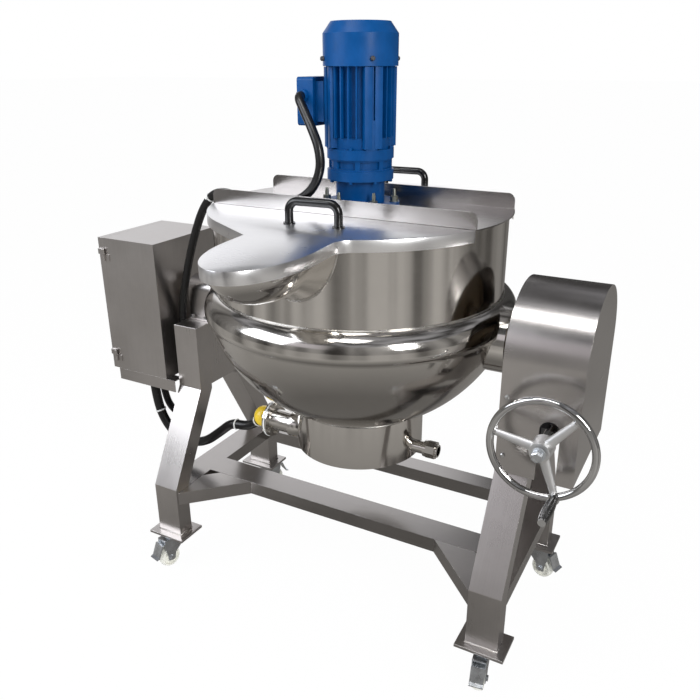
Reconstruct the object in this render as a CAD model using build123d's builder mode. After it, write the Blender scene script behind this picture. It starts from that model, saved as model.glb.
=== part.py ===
from build123d import *
import os
from math import atan2, cos, degrees, hypot, pi, radians, sin, sqrt, tan

# Tilting steam jacketed kettle with a scraper agitator, on a welded stand with braked casters.
# Millimetres. +Z is up and the origin is on the floor below the axis of the kettle.
# The kettle tilts about an axis along X, and pours over its spout towards -Y.
# The control box hangs on the -X side of the stand and the worm drive is on the +X side.

# ---- running fits and small clearances ----
running_clearance = 0.05
body_gap = 0.3

# ---- stand: bent rectangular tubes ----
left_leg_x = -502.5
right_leg_x = 462.0
leg_width = 80.0
leg_depth = 50.0
tube_wall = 3.0
foot_reach = 256.0
post_reach = 113.0
foot_plate_top = 112.0
foot_plate_thickness = 8.0
foot_plate_margin = 21.0
lower_bend_height = 264.0
upper_bend_height = 528.0
post_top = 716.0
rail_width = 80.0
rail_height = 40.0
rail_top = 255.0
rear_rail_width = 60.0
front_rail_reach = 101.0
brace_run = 150.0

# ---- casters ----
wheel_radius = 32.0
wheel_width = 26.0
caster_trail = 34.0
caster_plate_size = 60.0
caster_plate_thickness = 4.0
race_radius = 24.0
race_height = 4.0
kingpin_radius = 5.0
kingpin_nut_radius = 9.0
fork_plate = 4.0
fork_cheek = 2.5
fork_side_gap = 2.0
axle_radius = 4.0
axle_head_radius = 7.5
axle_head_height = 4.0
pedal_pin_radius = 2.5
pedal_thickness = 2.5
pedal_width = 34.0
front_left_swivel = -104.0
front_right_swivel = -82.0
rear_right_swivel = -18.0
rear_left_swivel = 62.0

# ---- trunnions and bearings ----
trunnion_height = 800.0
trunnion_radius = 25.0
bush_radius = 32.0
bush_flange_radius = 37.0
bush_flange = 4.0
housing_radius = 39.0
housing_base_height = 6.0
housing_base_reach = 52.0
pad_radius = 80.0
pad_face = 409.0

# ---- worm drive ----
gear_module = 6.0
wheel_teeth = 40
worm_pitch_radius = 24.0
worm_turns = 3
worm_x = 548.0
worm_wheel_width = 28.0
worm_wheel_bore_hub = 44.0
worm_wheel_hub_length = 48.0
thread_addendum = 6.0
thread_dedendum = 7.2
thread_tip_half = 1.9
thread_flank_slope = tan(radians(20))
tooth_play = 0.6
worm_shaft_radius = 12.5
bracket_plate = 10.0
bracket_lug = 18.0
bracket_lug_radius = 26.0
handwheel_reach = 225.0
handwheel_radius = 120.0
rim_tube_radius = 8.5
spoke_count = 3
spoke_turn = 50.0
hub_radius = 25.0
hub_length = 46.0
crank_grip_radius = 12.0
crank_grip_length = 88.0
crank_pin_radius = 5.0

# ---- gear cover ----
cover_inner_x = 433.0
cover_outer_x = 610.0
cover_radius = 160.0
cover_bottom = 540.0
cover_sheet = 2.0
cover_slot_width = 46.0
cover_slot_top = 690.0
cover_tab_width = 25.0
cover_tab_height = 30.0
cover_tab_upper = 727.0
cover_tab_lower = 583.0

# ---- control box ----
box_gap = 30.0
box_depth = 188.0
box_width = 266.0
box_bottom = 546.0
box_height = 402.0
box_sheet = 2.0
door_depth = 20.0
door_lip = 18.0
hinge_offset = 5.5
hinge_barrel_radius = 4.5
hinge_pin_radius = 2.0
hinge_barrel_length = 18.0
upper_hinge = 900.0
lower_hinge = 590.0
shelf_leg = 36.0
shelf_sheet = 3.0
button_radius = 11.0
emergency_radius = 19.0
lock_radius = 11.0

# ---- kettle ----
pot_radius = 362.0
pot_wall = 3.0
rim_height = 1080.0
rim_bead = 6.0
pot_depth_below_shoulder = 315.0
shoulder_height = 884.0
bulge_radius = 397.0
bulge_height = 838.0
bowl_radius = 405.0
bowl_bottom = 520.0
jacket_wall = 4.0
shoulder_bow = 7.0

# ---- spout, lids and handles ----
spout_turn = 4.5
spout_half_width = 95.0
spout_reach = 648.0
spout_depth_at_pot = 137.0
spout_sheet = 2.5
spout_nose = 16.0
spout_tip_depth = 30.0
lid_radius = 373.0
lid_sheet = 2.0
lid_skirt = 26.0
lid_spout_margin = 5.0
lid_edge = 138.0
handle_width = 119.0
handle_height = 50.0
handle_bar_radius = 9.5
handle_corner = 22.0
front_handle_reach = 256.0
rear_handle_reach = 285.0

# ---- bridge ----
bridge_half_width = 135.0
bridge_top = 1119.0
bridge_sheet = 3.0
bridge_corner = 18.0

# ---- drive on the bridge ----
base_flange_radius = 96.0
base_flange_height = 12.0
neck_radius = 59.0
neck_top = 1150.0
ring_radius = 80.0
ring_height = 23.0
window_ring_radius = 76.0
window_ring_height = 26.0
window_count = 8
end_shield_radius = 70.0
end_shield_height = 26.0
stator_radius = 66.0
fin_radius = 80.0
fin_count = 26
fin_thickness = 3.0
stator_height = 155.0
cowl_radius = 87.0
cowl_height = 94.0
cowl_chamfer_width = 18.0
cowl_chamfer_height = 25.0
cowl_sheet = 2.0
cowl_slots = 12
terminal_box_width = 100.0
terminal_box_height = 110.0
terminal_box_depth = 44.0
terminal_neck = 22.0
gland_length = 10.0

# ---- agitator ----
shaft_radius = 20.0
blade_gap = 24.0
blade_width = 30.0
blade_thickness = 10.0
scraper_gap = 3.0
scraper_thickness = 14.0
arm_top = 1000.0
crossbar_height = 930.0
crossbar_radius = 14.0

# ---- heater housing and connections under the bowl ----
heater_radius = 172.0
heater_bottom = 436.0
heater_wall = 3.0
nozzle_y = -55.0
nozzle_height = 460.0
nozzle_radius = 30.0
nozzle_end = -246.0
nozzle_flange_radius = 51.0
nozzle_flange_thickness = 12.0
nozzle_cap_radius = 27.0
nozzle_cap_length = 52.0
boss_width = 84.0
boss_height = 46.0
boss_depth = 20.0
drain_y = -15.0
drain_height = 464.0
drain_pipe_radius = 17.0
drain_bore_radius = 13.0
drain_end = 240.0
union_radius = 24.0
union_length = 30.0

# ---- flexible conduits ----
conduit_radius = 11.0
lead_radius = 14.0

# ---- places worked out from the sizes above ----
left_inner = left_leg_x + leg_width / 2
left_outer = left_leg_x - leg_width / 2
right_inner = right_leg_x - leg_width / 2
right_outer = right_leg_x + leg_width / 2
foot_y = foot_reach - leg_depth / 2
plate_bottom = foot_plate_top - foot_plate_thickness
worm_height = trunnion_height - gear_module * wheel_teeth / 2 - worm_pitch_radius
wheel_pitch_radius = gear_module * wheel_teeth / 2
axial_pitch = pi * gear_module
bowl_centre = bowl_bottom + bowl_radius
lid_underside = rim_height + body_gap
lid_top = lid_underside + lid_sheet
bridge_floor = rim_height
base_flange_bottom = bridge_floor + bridge_sheet
ring_one_top = neck_top + ring_height
window_top = ring_one_top + window_ring_height
ring_two_top = window_top + ring_height
shield_top = ring_two_top + end_shield_height
stator_top = shield_top + stator_height
cowl_top = stator_top + cowl_height
box_inner_x = left_outer - box_gap
box_outer_x = box_inner_x - box_depth
box_front = -box_width / 2
box_back = box_width / 2
box_top = box_bottom + box_height
door_outer_x = box_outer_x - body_gap - door_depth
hinge_x = box_outer_x
hinge_y = box_front - hinge_offset

os.makedirs("parts", exist_ok=True)


def save(builder, name):
    """Label a finished piece and write it as the node of that name."""
    builder.part.label = name
    export_step(builder.part, f"parts/{name}.step")


def bowl_profile(inset):
    """Half outline of the jacket's bowl and shoulder, moved inwards by inset, from axis to pot."""
    radius = bowl_radius - inset
    ridge = bulge_radius - inset
    ridge_height = bulge_height
    low_join_height = ridge_height - 22
    low_join = sqrt(radius ** 2 - (bowl_centre - low_join_height) ** 2)
    top_height = shoulder_height - inset
    mid = radians(-90 + 0.5 * degrees(atan2(low_join, bowl_centre - low_join_height)))
    middle = ((ridge + pot_radius) / 2 + shoulder_bow, (ridge_height + top_height) / 2 + shoulder_bow)
    return [
        ("arc", (0, bowl_centre - radius),
         (radius * cos(mid), bowl_centre + radius * sin(mid)), (low_join, low_join_height)),
        ("arc", (low_join, low_join_height),
         (ridge - 0.8, ridge_height - 10), (ridge, ridge_height)),
        ("arc", (ridge, ridge_height), middle, (pot_radius, top_height)),
    ]


def draw_profile(pieces):
    """Draw each arc of a profile in the line builder that is open."""
    for _, start, middle, end in pieces:
        ThreePointArc(start, middle, end)


def pot_profile(inset):
    """Draw the half outline of the pot, moved inwards by inset, from the axis to the rim."""
    radius = pot_radius - inset
    depth = pot_depth_below_shoulder - inset
    EllipticalCenterArc((0, shoulder_height), radius, depth, start_angle=270, arc_size=90)
    Line((radius, shoulder_height), (radius, rim_height))


def spout_half_width_at(reach, inset):
    """Half width of the spout in plan at a distance from the kettle's axis."""
    straight_end = spout_reach - spout_half_width
    if reach <= straight_end:
        return spout_half_width - inset
    tip = spout_half_width - inset
    return sqrt(max(tip ** 2 - (reach - straight_end) ** 2, spout_nose ** 2))


def spout_depth_at(reach, inset):
    """Depth of the spout below the rim at a distance from the kettle's axis."""
    slope = (spout_depth_at_pot - spout_tip_depth) / (spout_reach - pot_radius)
    return spout_depth_at_pot - slope * (reach - pot_radius) - inset


def spout_section(reach, inset):
    """Closed half ellipse across the spout at a distance from the kettle's axis."""
    turn = radians(-90 + spout_turn)
    plane = Plane(
        origin=(reach * cos(turn), reach * sin(turn), rim_height),
        x_dir=(-sin(turn), cos(turn), 0), z_dir=(cos(turn), sin(turn), 0))
    with BuildSketch(plane) as section:
        with BuildLine():
            half = spout_half_width_at(reach, inset)
            EllipticalCenterArc((0, 0), half, spout_depth_at(reach, inset),
                                start_angle=180, arc_size=180)
            Line((-half, 0), (half, 0))
        make_face()
    return section.sketch


def spout_body(inset, start, end):
    """Solid scoop of the spout: a straight scoop from inside the pot, then a rounded tip."""
    straight_end = spout_reach - spout_half_width
    with BuildPart() as scoop:
        loft(sections=[spout_section(start, inset), spout_section(straight_end, inset)])
        loft(sections=[spout_section(straight_end + share * (end - straight_end), inset)
                       for share in (0, 0.3, 0.55, 0.75, 0.9, 1)])
    return scoop.part


def route_lines(points):
    """Draw straight runs joined by tangent arcs through a list of chosen points."""
    start = Vector(*points[0])
    for index in range(1, len(points) - 1):
        before, corner, after = (Vector(*points[index + step]) for step in (-1, 0, 1))
        run_in, run_out = (corner - before).length, (after - corner).length
        reach = 0.45 * min(run_in, run_out)
        along_in, along_out = (corner - before).normalized(), (after - corner).normalized()
        turn = radians(along_in.get_angle(along_out))
        radius = reach / tan(turn / 2)
        first, last = corner - along_in * reach, corner + along_out * reach
        inward = (along_out - along_in).normalized()
        centre_distance = radius / cos(turn / 2)
        middle = corner + inward * (centre_distance - radius)
        print(f"   bend {index}: radius {radius:.0f} turn {degrees(turn):.0f} run {run_in:.0f}")
        Line(start, first)
        ThreePointArc(first, middle, last)
        start = last
    Line(start, Vector(*points[-1]))


def tube(name, points, radius):
    """A flexible conduit: a round section swept along its route."""
    print(name)
    with BuildPart() as hose:
        with BuildLine() as path:
            route_lines(points)
        with BuildSketch(Plane(origin=path.line @ 0, z_dir=path.line % 0)):
            Circle(radius)
        sweep()
    length = sum(edge.length for edge in path.edges())
    expected = pi * radius ** 2 * length
    print(f"   volume {hose.part.volume:.0f} of {expected:.0f} length {length:.0f}")
    save(hose, name)


# ======================= stand =======================
slant = atan2(foot_reach - post_reach, upper_bend_height - lower_bend_height)


def leg_outline(inset):
    """Side outline of one bent leg in the YZ plane, moved inwards by inset except at the foot."""
    depth = leg_depth - 2 * inset
    foot, post = -foot_reach + inset, -post_reach + inset
    drop = inset * tan(slant / 2)
    lower, upper = lower_bend_height - drop, upper_bend_height - drop
    mitre = depth * tan(slant / 2)
    return [
        (foot, foot_plate_top), (foot, lower), (post, upper), (post, post_top - inset),
        (post + depth, post_top - inset), (post + depth, upper - mitre),
        (foot + depth, lower - mitre), (foot + depth, foot_plate_top)]


def make_legs(name, centre_x):
    """Front and rear leg of one side frame: foot, inward slant and post in one bent tube."""
    with BuildPart() as legs:
        with BuildSketch(Plane.YZ.offset(centre_x - leg_width / 2)):
            with BuildLine():
                Polyline(*leg_outline(0), close=True)
            make_face()
        extrude(amount=leg_width)
        with BuildSketch(Plane.YZ.offset(centre_x - leg_width / 2 + tube_wall)):
            with BuildLine():
                Polyline(*leg_outline(tube_wall), close=True)
            make_face()
        extrude(amount=leg_width - 2 * tube_wall, mode=Mode.SUBTRACT)
        mirror(about=Plane.XZ)
    save(legs, name)


make_legs("left_legs", left_leg_x)
make_legs("right_legs", right_leg_x)


def make_head(name, centre_x):
    """Box panel that closes the top of a side frame between its two posts."""
    between = 2 * (post_reach - leg_depth)
    height = post_top - upper_bend_height
    with BuildPart() as head:
        with BuildSketch(Plane.XY.offset(upper_bend_height)):
            with Locations((centre_x, 0)):
                Rectangle(leg_width, between)
        extrude(amount=height)
        with BuildSketch(Plane.XY.offset(upper_bend_height)):
            with Locations((centre_x, 0)):
                Rectangle(leg_width - 2 * tube_wall, between - 2 * tube_wall)
        extrude(amount=height - tube_wall, mode=Mode.SUBTRACT)
    save(head, name)


make_head("left_head", left_leg_x)
make_head("right_head", right_leg_x)

with BuildPart() as base_rails:
    rail_middle = rail_top - rail_height / 2
    for start_y, width in ((-front_rail_reach + rail_width / 2, rail_width),
                           (foot_reach - rear_rail_width / 2, rear_rail_width)):
        with BuildSketch(Plane.YZ.offset(left_inner)):
            with Locations((start_y, rail_middle)):
                Rectangle(width, rail_height)
                Rectangle(width - 2 * tube_wall, rail_height - 2 * tube_wall, mode=Mode.SUBTRACT)
        extrude(amount=right_inner - left_inner)
    for centre_x in (left_leg_x, right_leg_x):
        with BuildSketch(Plane.XZ.offset(-(foot_reach - leg_depth))):
            with Locations((centre_x, rail_middle)):
                Rectangle(leg_width, rail_height)
                Rectangle(leg_width - 2 * tube_wall, rail_height - 2 * tube_wall,
                          mode=Mode.SUBTRACT)
        extrude(amount=2 * (foot_reach - leg_depth))
        for sign in (-1, 1):
            with BuildSketch(Plane.YZ.offset(centre_x - leg_width / 2)):
                with BuildLine():
                    Polyline(*[(-sign * y, z) for y, z in leg_outline(0)], close=True)
                make_face()
            extrude(amount=leg_width, mode=Mode.SUBTRACT)
save(base_rails, "base_rails")

with BuildPart() as corner_braces:
    for corner_x, sign in ((left_inner, 1), (right_inner, -1)):
        outer = [(corner_x, -front_rail_reach - brace_run),
                 (corner_x + sign * brace_run, -front_rail_reach)]
        across = rail_width * sqrt(2)
        with BuildSketch(Plane.XY.offset(rail_top - rail_height)):
            with BuildLine():
                Polyline(outer[0], outer[1], (outer[1][0] - sign * across, outer[1][1]),
                         (outer[0][0], outer[0][1] + across), close=True)
            make_face()
        extrude(amount=rail_height)
        wall = tube_wall * sqrt(2)
        with BuildSketch(Plane.XY.offset(rail_top - rail_height + tube_wall)):
            with BuildLine():
                Polyline((outer[0][0], outer[0][1] + wall), (outer[1][0] - sign * wall, outer[1][1]),
                         (outer[1][0] - sign * (across - wall), outer[1][1]),
                         (outer[0][0], outer[0][1] + across - wall), close=True)
            make_face()
        extrude(amount=rail_height - 2 * tube_wall, mode=Mode.SUBTRACT)
save(corner_braces, "corner_braces")

feet = [(left_leg_x, -foot_y), (right_leg_x, -foot_y), (right_leg_x, foot_y), (left_leg_x, foot_y)]
corner_names = ["front_left", "front_right", "rear_right", "rear_left"]
swivels = [front_left_swivel, front_right_swivel, rear_right_swivel, rear_left_swivel]

with BuildPart() as foot_plates:
    with BuildSketch(Plane.XY.offset(plate_bottom)):
        with Locations(*feet):
            Rectangle(leg_width + 2 * foot_plate_margin, leg_depth + 2 * foot_plate_margin)
    extrude(amount=foot_plate_thickness)
save(foot_plates, "foot_plates")

# ======================= casters =======================
race_top = plate_bottom - caster_plate_thickness
fork_top = race_top - race_height - body_gap
nut_top = fork_top - fork_plate - body_gap
nut_height = 5.0
inner_half = wheel_width / 2 + fork_side_gap
outer_half = inner_half + fork_cheek

with BuildPart() as caster_plates:
    with BuildSketch(Plane.XY.offset(race_top)):
        with Locations(*feet):
            RectangleRounded(caster_plate_size, caster_plate_size, 6)
    extrude(amount=caster_plate_thickness)
    with BuildSketch(Plane.XY.offset(race_top)):
        with Locations(*feet):
            Circle(race_radius)
    extrude(amount=-race_height, taper=20)
    with BuildSketch(Plane.XY.offset(nut_top)):
        with Locations(*feet):
            Circle(kingpin_radius)
    extrude(amount=race_top - nut_top)
    with BuildSketch(Plane.XY.offset(nut_top - nut_height)):
        with Locations(*feet):
            RegularPolygon(kingpin_nut_radius, 6)
    extrude(amount=nut_height)
save(caster_plates, "caster_plates")


def caster_frame(place, angle):
    """Side plane of one caster: x runs along its trail, y is up and z points sideways."""
    turn = radians(angle)
    return Plane(origin=(place[0], place[1], 0), x_dir=(cos(turn), sin(turn), 0),
                 z_dir=(sin(turn), -cos(turn), 0))


pedal_pivot = (47.0, 80.0)


def make_fork(name, place, angle):
    """Swivel fork: top plate, two tapered cheeks, the riveted axle and the pedal's pin."""
    side = caster_frame(place, angle)
    cheek = [(-22, fork_top), (54, fork_top), (54, 74), (caster_trail + 15, 50),
             (caster_trail + 11, 24), (caster_trail - 11, 24), (caster_trail - 15, 44), (-22, 82)]
    with BuildPart() as fork:
        with BuildSketch(side.offset(inner_half)):
            with BuildLine():
                Polyline(*cheek, close=True)
            make_face()
        extrude(amount=fork_cheek)
        with BuildSketch(side.offset(-outer_half)):
            with BuildLine():
                Polyline(*cheek, close=True)
            make_face()
        extrude(amount=fork_cheek)
        with BuildSketch(side.offset(-outer_half)):
            with Locations((16, fork_top - fork_plate / 2)):
                Rectangle(76, fork_plate)
        extrude(amount=2 * outer_half)
        with BuildSketch(Plane.XY.offset(fork_top - fork_plate)):
            with Locations(place):
                Circle(kingpin_radius + running_clearance)
        extrude(amount=fork_plate, mode=Mode.SUBTRACT)
        with BuildSketch(side.offset(-outer_half)):
            with Locations((caster_trail, wheel_radius)):
                Circle(axle_radius)
            with Locations(pedal_pivot):
                Circle(pedal_pin_radius)
        extrude(amount=2 * outer_half)
        for start, amount in ((outer_half, axle_head_height), (-outer_half, -axle_head_height)):
            with BuildSketch(side.offset(start)):
                with Locations((caster_trail, wheel_radius)):
                    RegularPolygon(axle_head_radius, 6)
            extrude(amount=amount)
    save(fork, name)


def make_wheel(name, place, angle):
    """Nylon wheel: crowned tread, a recessed web on each face and a hub bored for the axle."""
    side = caster_frame(place, angle)
    centre = side.from_local_coords(Vector(caster_trail, wheel_radius, 0))
    half = wheel_width / 2
    spin = Plane(origin=centre, x_dir=(0, 0, 1), z_dir=side.x_dir)
    with BuildPart() as wheel:
        with BuildSketch(spin):
            with BuildLine():
                bore = axle_radius + running_clearance
                Polyline((bore, half), (bore, -half), (bore + 6, -half), (bore + 9, -half + 5),
                         (wheel_radius - 9, -half + 5), (wheel_radius - 7, -half),
                         (wheel_radius - 3, -half))
                ThreePointArc((wheel_radius - 3, -half), (wheel_radius, 0),
                              (wheel_radius - 3, half))
                Polyline((wheel_radius - 3, half), (wheel_radius - 7, half),
                         (wheel_radius - 9, half - 5), (bore + 9, half - 5), (bore + 6, half),
                         (bore, half))
            make_face()
        revolve(axis=Axis(centre, side.z_dir))
    save(wheel, name)


def make_pedal(name, place, angle):
    """Brake pedal: a barrel on the fork's pin, a bent tread plate and a raised toe lip."""
    side = caster_frame(place, angle)
    px, pz = pedal_pivot
    with BuildPart() as pedal:
        with BuildSketch(side.offset(-(inner_half - body_gap))):
            with Locations(pedal_pivot):
                Circle(pedal_pin_radius + 2.5)
        extrude(amount=2 * (inner_half - body_gap))
        with BuildSketch(side.offset(-(inner_half - body_gap))):
            with BuildLine():
                Polyline((px, pz + 4.5), (px + 14, pz + 4.5), (px + 14, pz + 2), (px, pz + 1),
                         close=True)
            make_face()
        extrude(amount=2 * (inner_half - body_gap))
        with BuildSketch(side.offset(-pedal_width / 2)):
            with BuildLine():
                Polyline((px + 11, pz + 4.5), (px + 16, pz + 4.5), (px + 30, pz - 30),
                         (px + 38, pz - 33), (px + 38, pz - 35.5), (px + 28.5, pz - 33),
                         (px + 14, pz + 2), (px + 11, pz + 2), close=True)
            make_face()
        extrude(amount=pedal_width)
        with BuildSketch(side.offset(-pedal_width / 2)):
            with Locations(pedal_pivot):
                Circle(pedal_pin_radius + running_clearance)
        extrude(amount=pedal_width, mode=Mode.SUBTRACT)
    save(pedal, name)


for corner, place, angle in zip(corner_names, feet, swivels):
    make_fork(f"{corner}_fork", place, angle)
    make_wheel(f"{corner}_wheel", place, angle)
    make_pedal(f"{corner}_pedal", place, angle)

# ======================= trunnion bearings =======================


def make_bearing_housing(name, inner_x, outer_x):
    """Arched housing on top of a side frame, bored for its bush, on a bolted base plate."""
    low, high = min(inner_x, outer_x), max(inner_x, outer_x)
    with BuildPart() as housing:
        with BuildSketch(Plane.YZ.offset(low)):
            with Locations((0, (post_top + trunnion_height) / 2)):
                Rectangle(2 * housing_radius, trunnion_height - post_top)
            with Locations((0, trunnion_height)):
                Circle(housing_radius)
            with Locations((0, post_top + housing_base_height / 2)):
                Rectangle(2 * housing_base_reach, housing_base_height)
            with Locations((0, trunnion_height)):
                Circle(bush_radius, mode=Mode.SUBTRACT)
        extrude(amount=high - low)
    save(housing, name)


make_bearing_housing("left_bearing_housing", left_inner, left_outer)
make_bearing_housing("right_bearing_housing", right_inner, right_outer)

with BuildPart() as bearing_bushes:
    for inner_x, inward in ((left_inner, 1), (right_inner, -1)):
        with BuildSketch(Plane.YZ.offset(inner_x)):
            with Locations((0, trunnion_height)):
                Circle(bush_radius)
        extrude(amount=-inward * leg_width)
        with BuildSketch(Plane.YZ.offset(inner_x)):
            with Locations((0, trunnion_height)):
                Circle(bush_flange_radius)
        extrude(amount=inward * bush_flange)
        with BuildSketch(Plane.YZ.offset(inner_x + inward * bush_flange)):
            with Locations((0, trunnion_height)):
                Circle(trunnion_radius + running_clearance)
        extrude(amount=-inward * (leg_width + bush_flange), mode=Mode.SUBTRACT)
save(bearing_bushes, "bearing_bushes")

# ======================= jacketed kettle =======================
with BuildPart() as jacket_form:
    with BuildSketch(Plane.XZ):
        with BuildLine():
            draw_profile(bowl_profile(0))
            Polyline((pot_radius, shoulder_height), (0, shoulder_height), (0, bowl_bottom))
        make_face()
    revolve(axis=Axis.Z)

with BuildPart() as pot_form:
    with BuildSketch(Plane.XZ):
        with BuildLine():
            pot_profile(0)
            Polyline((pot_radius, rim_height), (0, rim_height),
                     (0, shoulder_height - pot_depth_below_shoulder))
        make_face()
    revolve(axis=Axis.Z)

with BuildPart() as jacket:
    add(jacket_form.part)
    with BuildSketch(Plane.XZ):
        with BuildLine():
            inner = bowl_profile(jacket_wall)
            draw_profile(inner)
            Polyline((pot_radius, shoulder_height - jacket_wall), (0, shoulder_height - jacket_wall),
                     (0, bowl_bottom + jacket_wall))
        make_face()
    revolve(axis=Axis.Z, mode=Mode.SUBTRACT)
    with BuildSketch(Plane.XY.offset(shoulder_height - 2 * jacket_wall)):
        Circle(pot_radius)
    extrude(amount=3 * jacket_wall, mode=Mode.SUBTRACT)
save(jacket, "outer_jacket")

with BuildPart() as pot:
    add(pot_form.part)
    with BuildSketch(Plane.XY.offset(rim_height - rim_bead)):
        Circle(pot_radius + rim_bead / 2)
    extrude(amount=rim_bead)
    with BuildSketch(Plane.XZ):
        with BuildLine():
            pot_profile(pot_wall)
            Polyline((pot_radius - pot_wall, rim_height), (0, rim_height),
                     (0, shoulder_height - pot_depth_below_shoulder + pot_wall))
        make_face()
    revolve(axis=Axis.Z, mode=Mode.SUBTRACT)
    add(spout_body(spout_sheet, pot_radius - 62, spout_reach - spout_sheet - 2),
        mode=Mode.SUBTRACT)
save(pot, "inner_pot")

with BuildPart() as spout:
    add(spout_body(0, pot_radius - 42, spout_reach))
    add(spout_body(spout_sheet, pot_radius - 62, spout_reach - spout_sheet - 2),
        mode=Mode.SUBTRACT)
    with BuildSketch(Plane.XY.offset(bowl_bottom)):
        Circle(pot_radius)
    extrude(amount=rim_height - bowl_bottom + 1, mode=Mode.SUBTRACT)
    with BuildSketch(Plane.XY.offset(rim_height - rim_bead)):
        Circle(pot_radius + rim_bead / 2)
    extrude(amount=rim_bead, mode=Mode.SUBTRACT)
save(spout, "pouring_spout")


def make_trunnion(name, side, shaft_end):
    """Round pad welded to the jacket, with a turned neck and the journal of the tilt axis."""
    with BuildPart() as trunnion:
        with BuildSketch(Plane.YZ.offset(side * (pot_radius - 20))):
            with Locations((0, trunnion_height)):
                Circle(pad_radius)
        extrude(amount=side * (pad_face - pot_radius + 20))
        add(jacket_form.part, mode=Mode.SUBTRACT)
        with BuildSketch(Plane.YZ.offset(side * pad_face)):
            with Locations((0, trunnion_height)):
                Circle(trunnion_radius)
        extrude(amount=side * (abs(shaft_end) - pad_face))
    save(trunnion, name)


make_trunnion("left_trunnion", -1, left_outer + 8)
make_trunnion("right_trunnion", 1, worm_x + worm_wheel_hub_length / 2 + 6)

# ======================= worm drive =======================
wheel_tip_radius = wheel_pitch_radius + thread_addendum
lead_angle = atan2(axial_pitch, 2 * pi * worm_pitch_radius)

with BuildPart() as worm_wheel:
    with BuildSketch(Plane.YZ.offset(worm_x - worm_wheel_width / 2)):
        with Locations((0, trunnion_height)):
            Circle(wheel_tip_radius)
    extrude(amount=worm_wheel_width)
    for side in (-1, 1):
        with BuildSketch(Plane.YZ.offset(worm_x + side * worm_wheel_width / 2)):
            with Locations((0, trunnion_height)):
                Circle(wheel_pitch_radius - 20)
                Circle(worm_wheel_bore_hub, mode=Mode.SUBTRACT)
        extrude(amount=-side * 9, mode=Mode.SUBTRACT)
    with BuildSketch(Plane.YZ.offset(worm_x - worm_wheel_hub_length / 2)):
        with Locations((0, trunnion_height)):
            Circle(worm_wheel_bore_hub)
    extrude(amount=worm_wheel_hub_length)
    root = thread_dedendum + tooth_play
    tip = thread_addendum + 2
    gap_pitch_half = axial_pitch / 4 + tooth_play
    for tooth in range(wheel_teeth):
        angle = radians(-90 + 360 * tooth / wheel_teeth)
        outward = Vector(0, cos(angle), sin(angle))
        tangent = Vector(0, -sin(angle), cos(angle))
        along = (Vector(1, 0, 0) * cos(lead_angle) + tangent * sin(lead_angle)).normalized()
        centre = Vector(worm_x, 0, trunnion_height) + outward * wheel_pitch_radius
        gash = Plane(origin=centre - along * worm_wheel_width, x_dir=outward, z_dir=along)
        with BuildSketch(gash):
            with BuildLine():
                Polyline(
                    (-root, gap_pitch_half - root * thread_flank_slope),
                    (tip, gap_pitch_half + tip * thread_flank_slope),
                    (tip, -gap_pitch_half - tip * thread_flank_slope),
                    (-root, -gap_pitch_half + root * thread_flank_slope), close=True)
            make_face()
        extrude(amount=2 * worm_wheel_width, mode=Mode.SUBTRACT)
    with BuildSketch(Plane.YZ.offset(worm_x - worm_wheel_hub_length / 2)):
        with Locations((0, trunnion_height)):
            Circle(trunnion_radius)
    extrude(amount=worm_wheel_hub_length, mode=Mode.SUBTRACT)
save(worm_wheel, "worm_wheel")

shaft_front = handwheel_reach - hub_length / 2
shaft_back = bracket_lug + 70
worm_length = worm_turns * axial_pitch
worm_root_radius = worm_pitch_radius - thread_dedendum

with BuildPart() as worm_shaft:
    with BuildSketch(Plane.XZ.offset(shaft_front)):
        with Locations((worm_x, worm_height)):
            Circle(worm_shaft_radius)
    extrude(amount=-(shaft_front + shaft_back))
    with BuildSketch(Plane.XZ.offset(worm_length / 2 + 8)):
        with Locations((worm_x, worm_height)):
            Circle(worm_root_radius)
    extrude(amount=-(worm_length + 16))
    with BuildLine() as thread_path:
        Helix(pitch=axial_pitch, height=worm_length, radius=worm_root_radius - 1,
              center=(worm_x, worm_length / 2, worm_height), direction=(0, -1, 0))
    start = thread_path.line @ 0
    radial = (start - Vector(worm_x, start.Y, worm_height)).normalized()
    depth = thread_addendum + thread_dedendum + 1
    with BuildSketch(Plane(origin=start, x_dir=radial, z_dir=thread_path.line % 0)):
        with BuildLine():
            Polyline((0, thread_tip_half + depth * thread_flank_slope), (depth, thread_tip_half),
                     (depth, -thread_tip_half), (0, -thread_tip_half - depth * thread_flank_slope),
                     close=True)
        make_face()
    sweep(path=thread_path.line, is_frenet=True)
save(worm_shaft, "worm_shaft")

with BuildPart() as worm_bracket:
    lug_centre = 68.0
    with BuildSketch(Plane.YZ.offset(right_outer)):
        with Locations((0, worm_height - 6)):
            Rectangle(2 * lug_centre + bracket_lug + 4, 92)
    extrude(amount=bracket_plate)
    for centre_y in (-lug_centre, lug_centre):
        with BuildSketch(Plane.XZ.offset(-centre_y - bracket_lug / 2)):
            with Locations(((right_outer + worm_x) / 2, worm_height - 4)):
                Rectangle(worm_x - right_outer, 2 * bracket_lug_radius - 8)
            with Locations((worm_x, worm_height - 4)):
                Circle(bracket_lug_radius - 4)
            with Locations((worm_x, worm_height)):
                Circle(worm_shaft_radius + running_clearance, mode=Mode.SUBTRACT)
        extrude(amount=bracket_lug)
save(worm_bracket, "worm_bracket")

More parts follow.
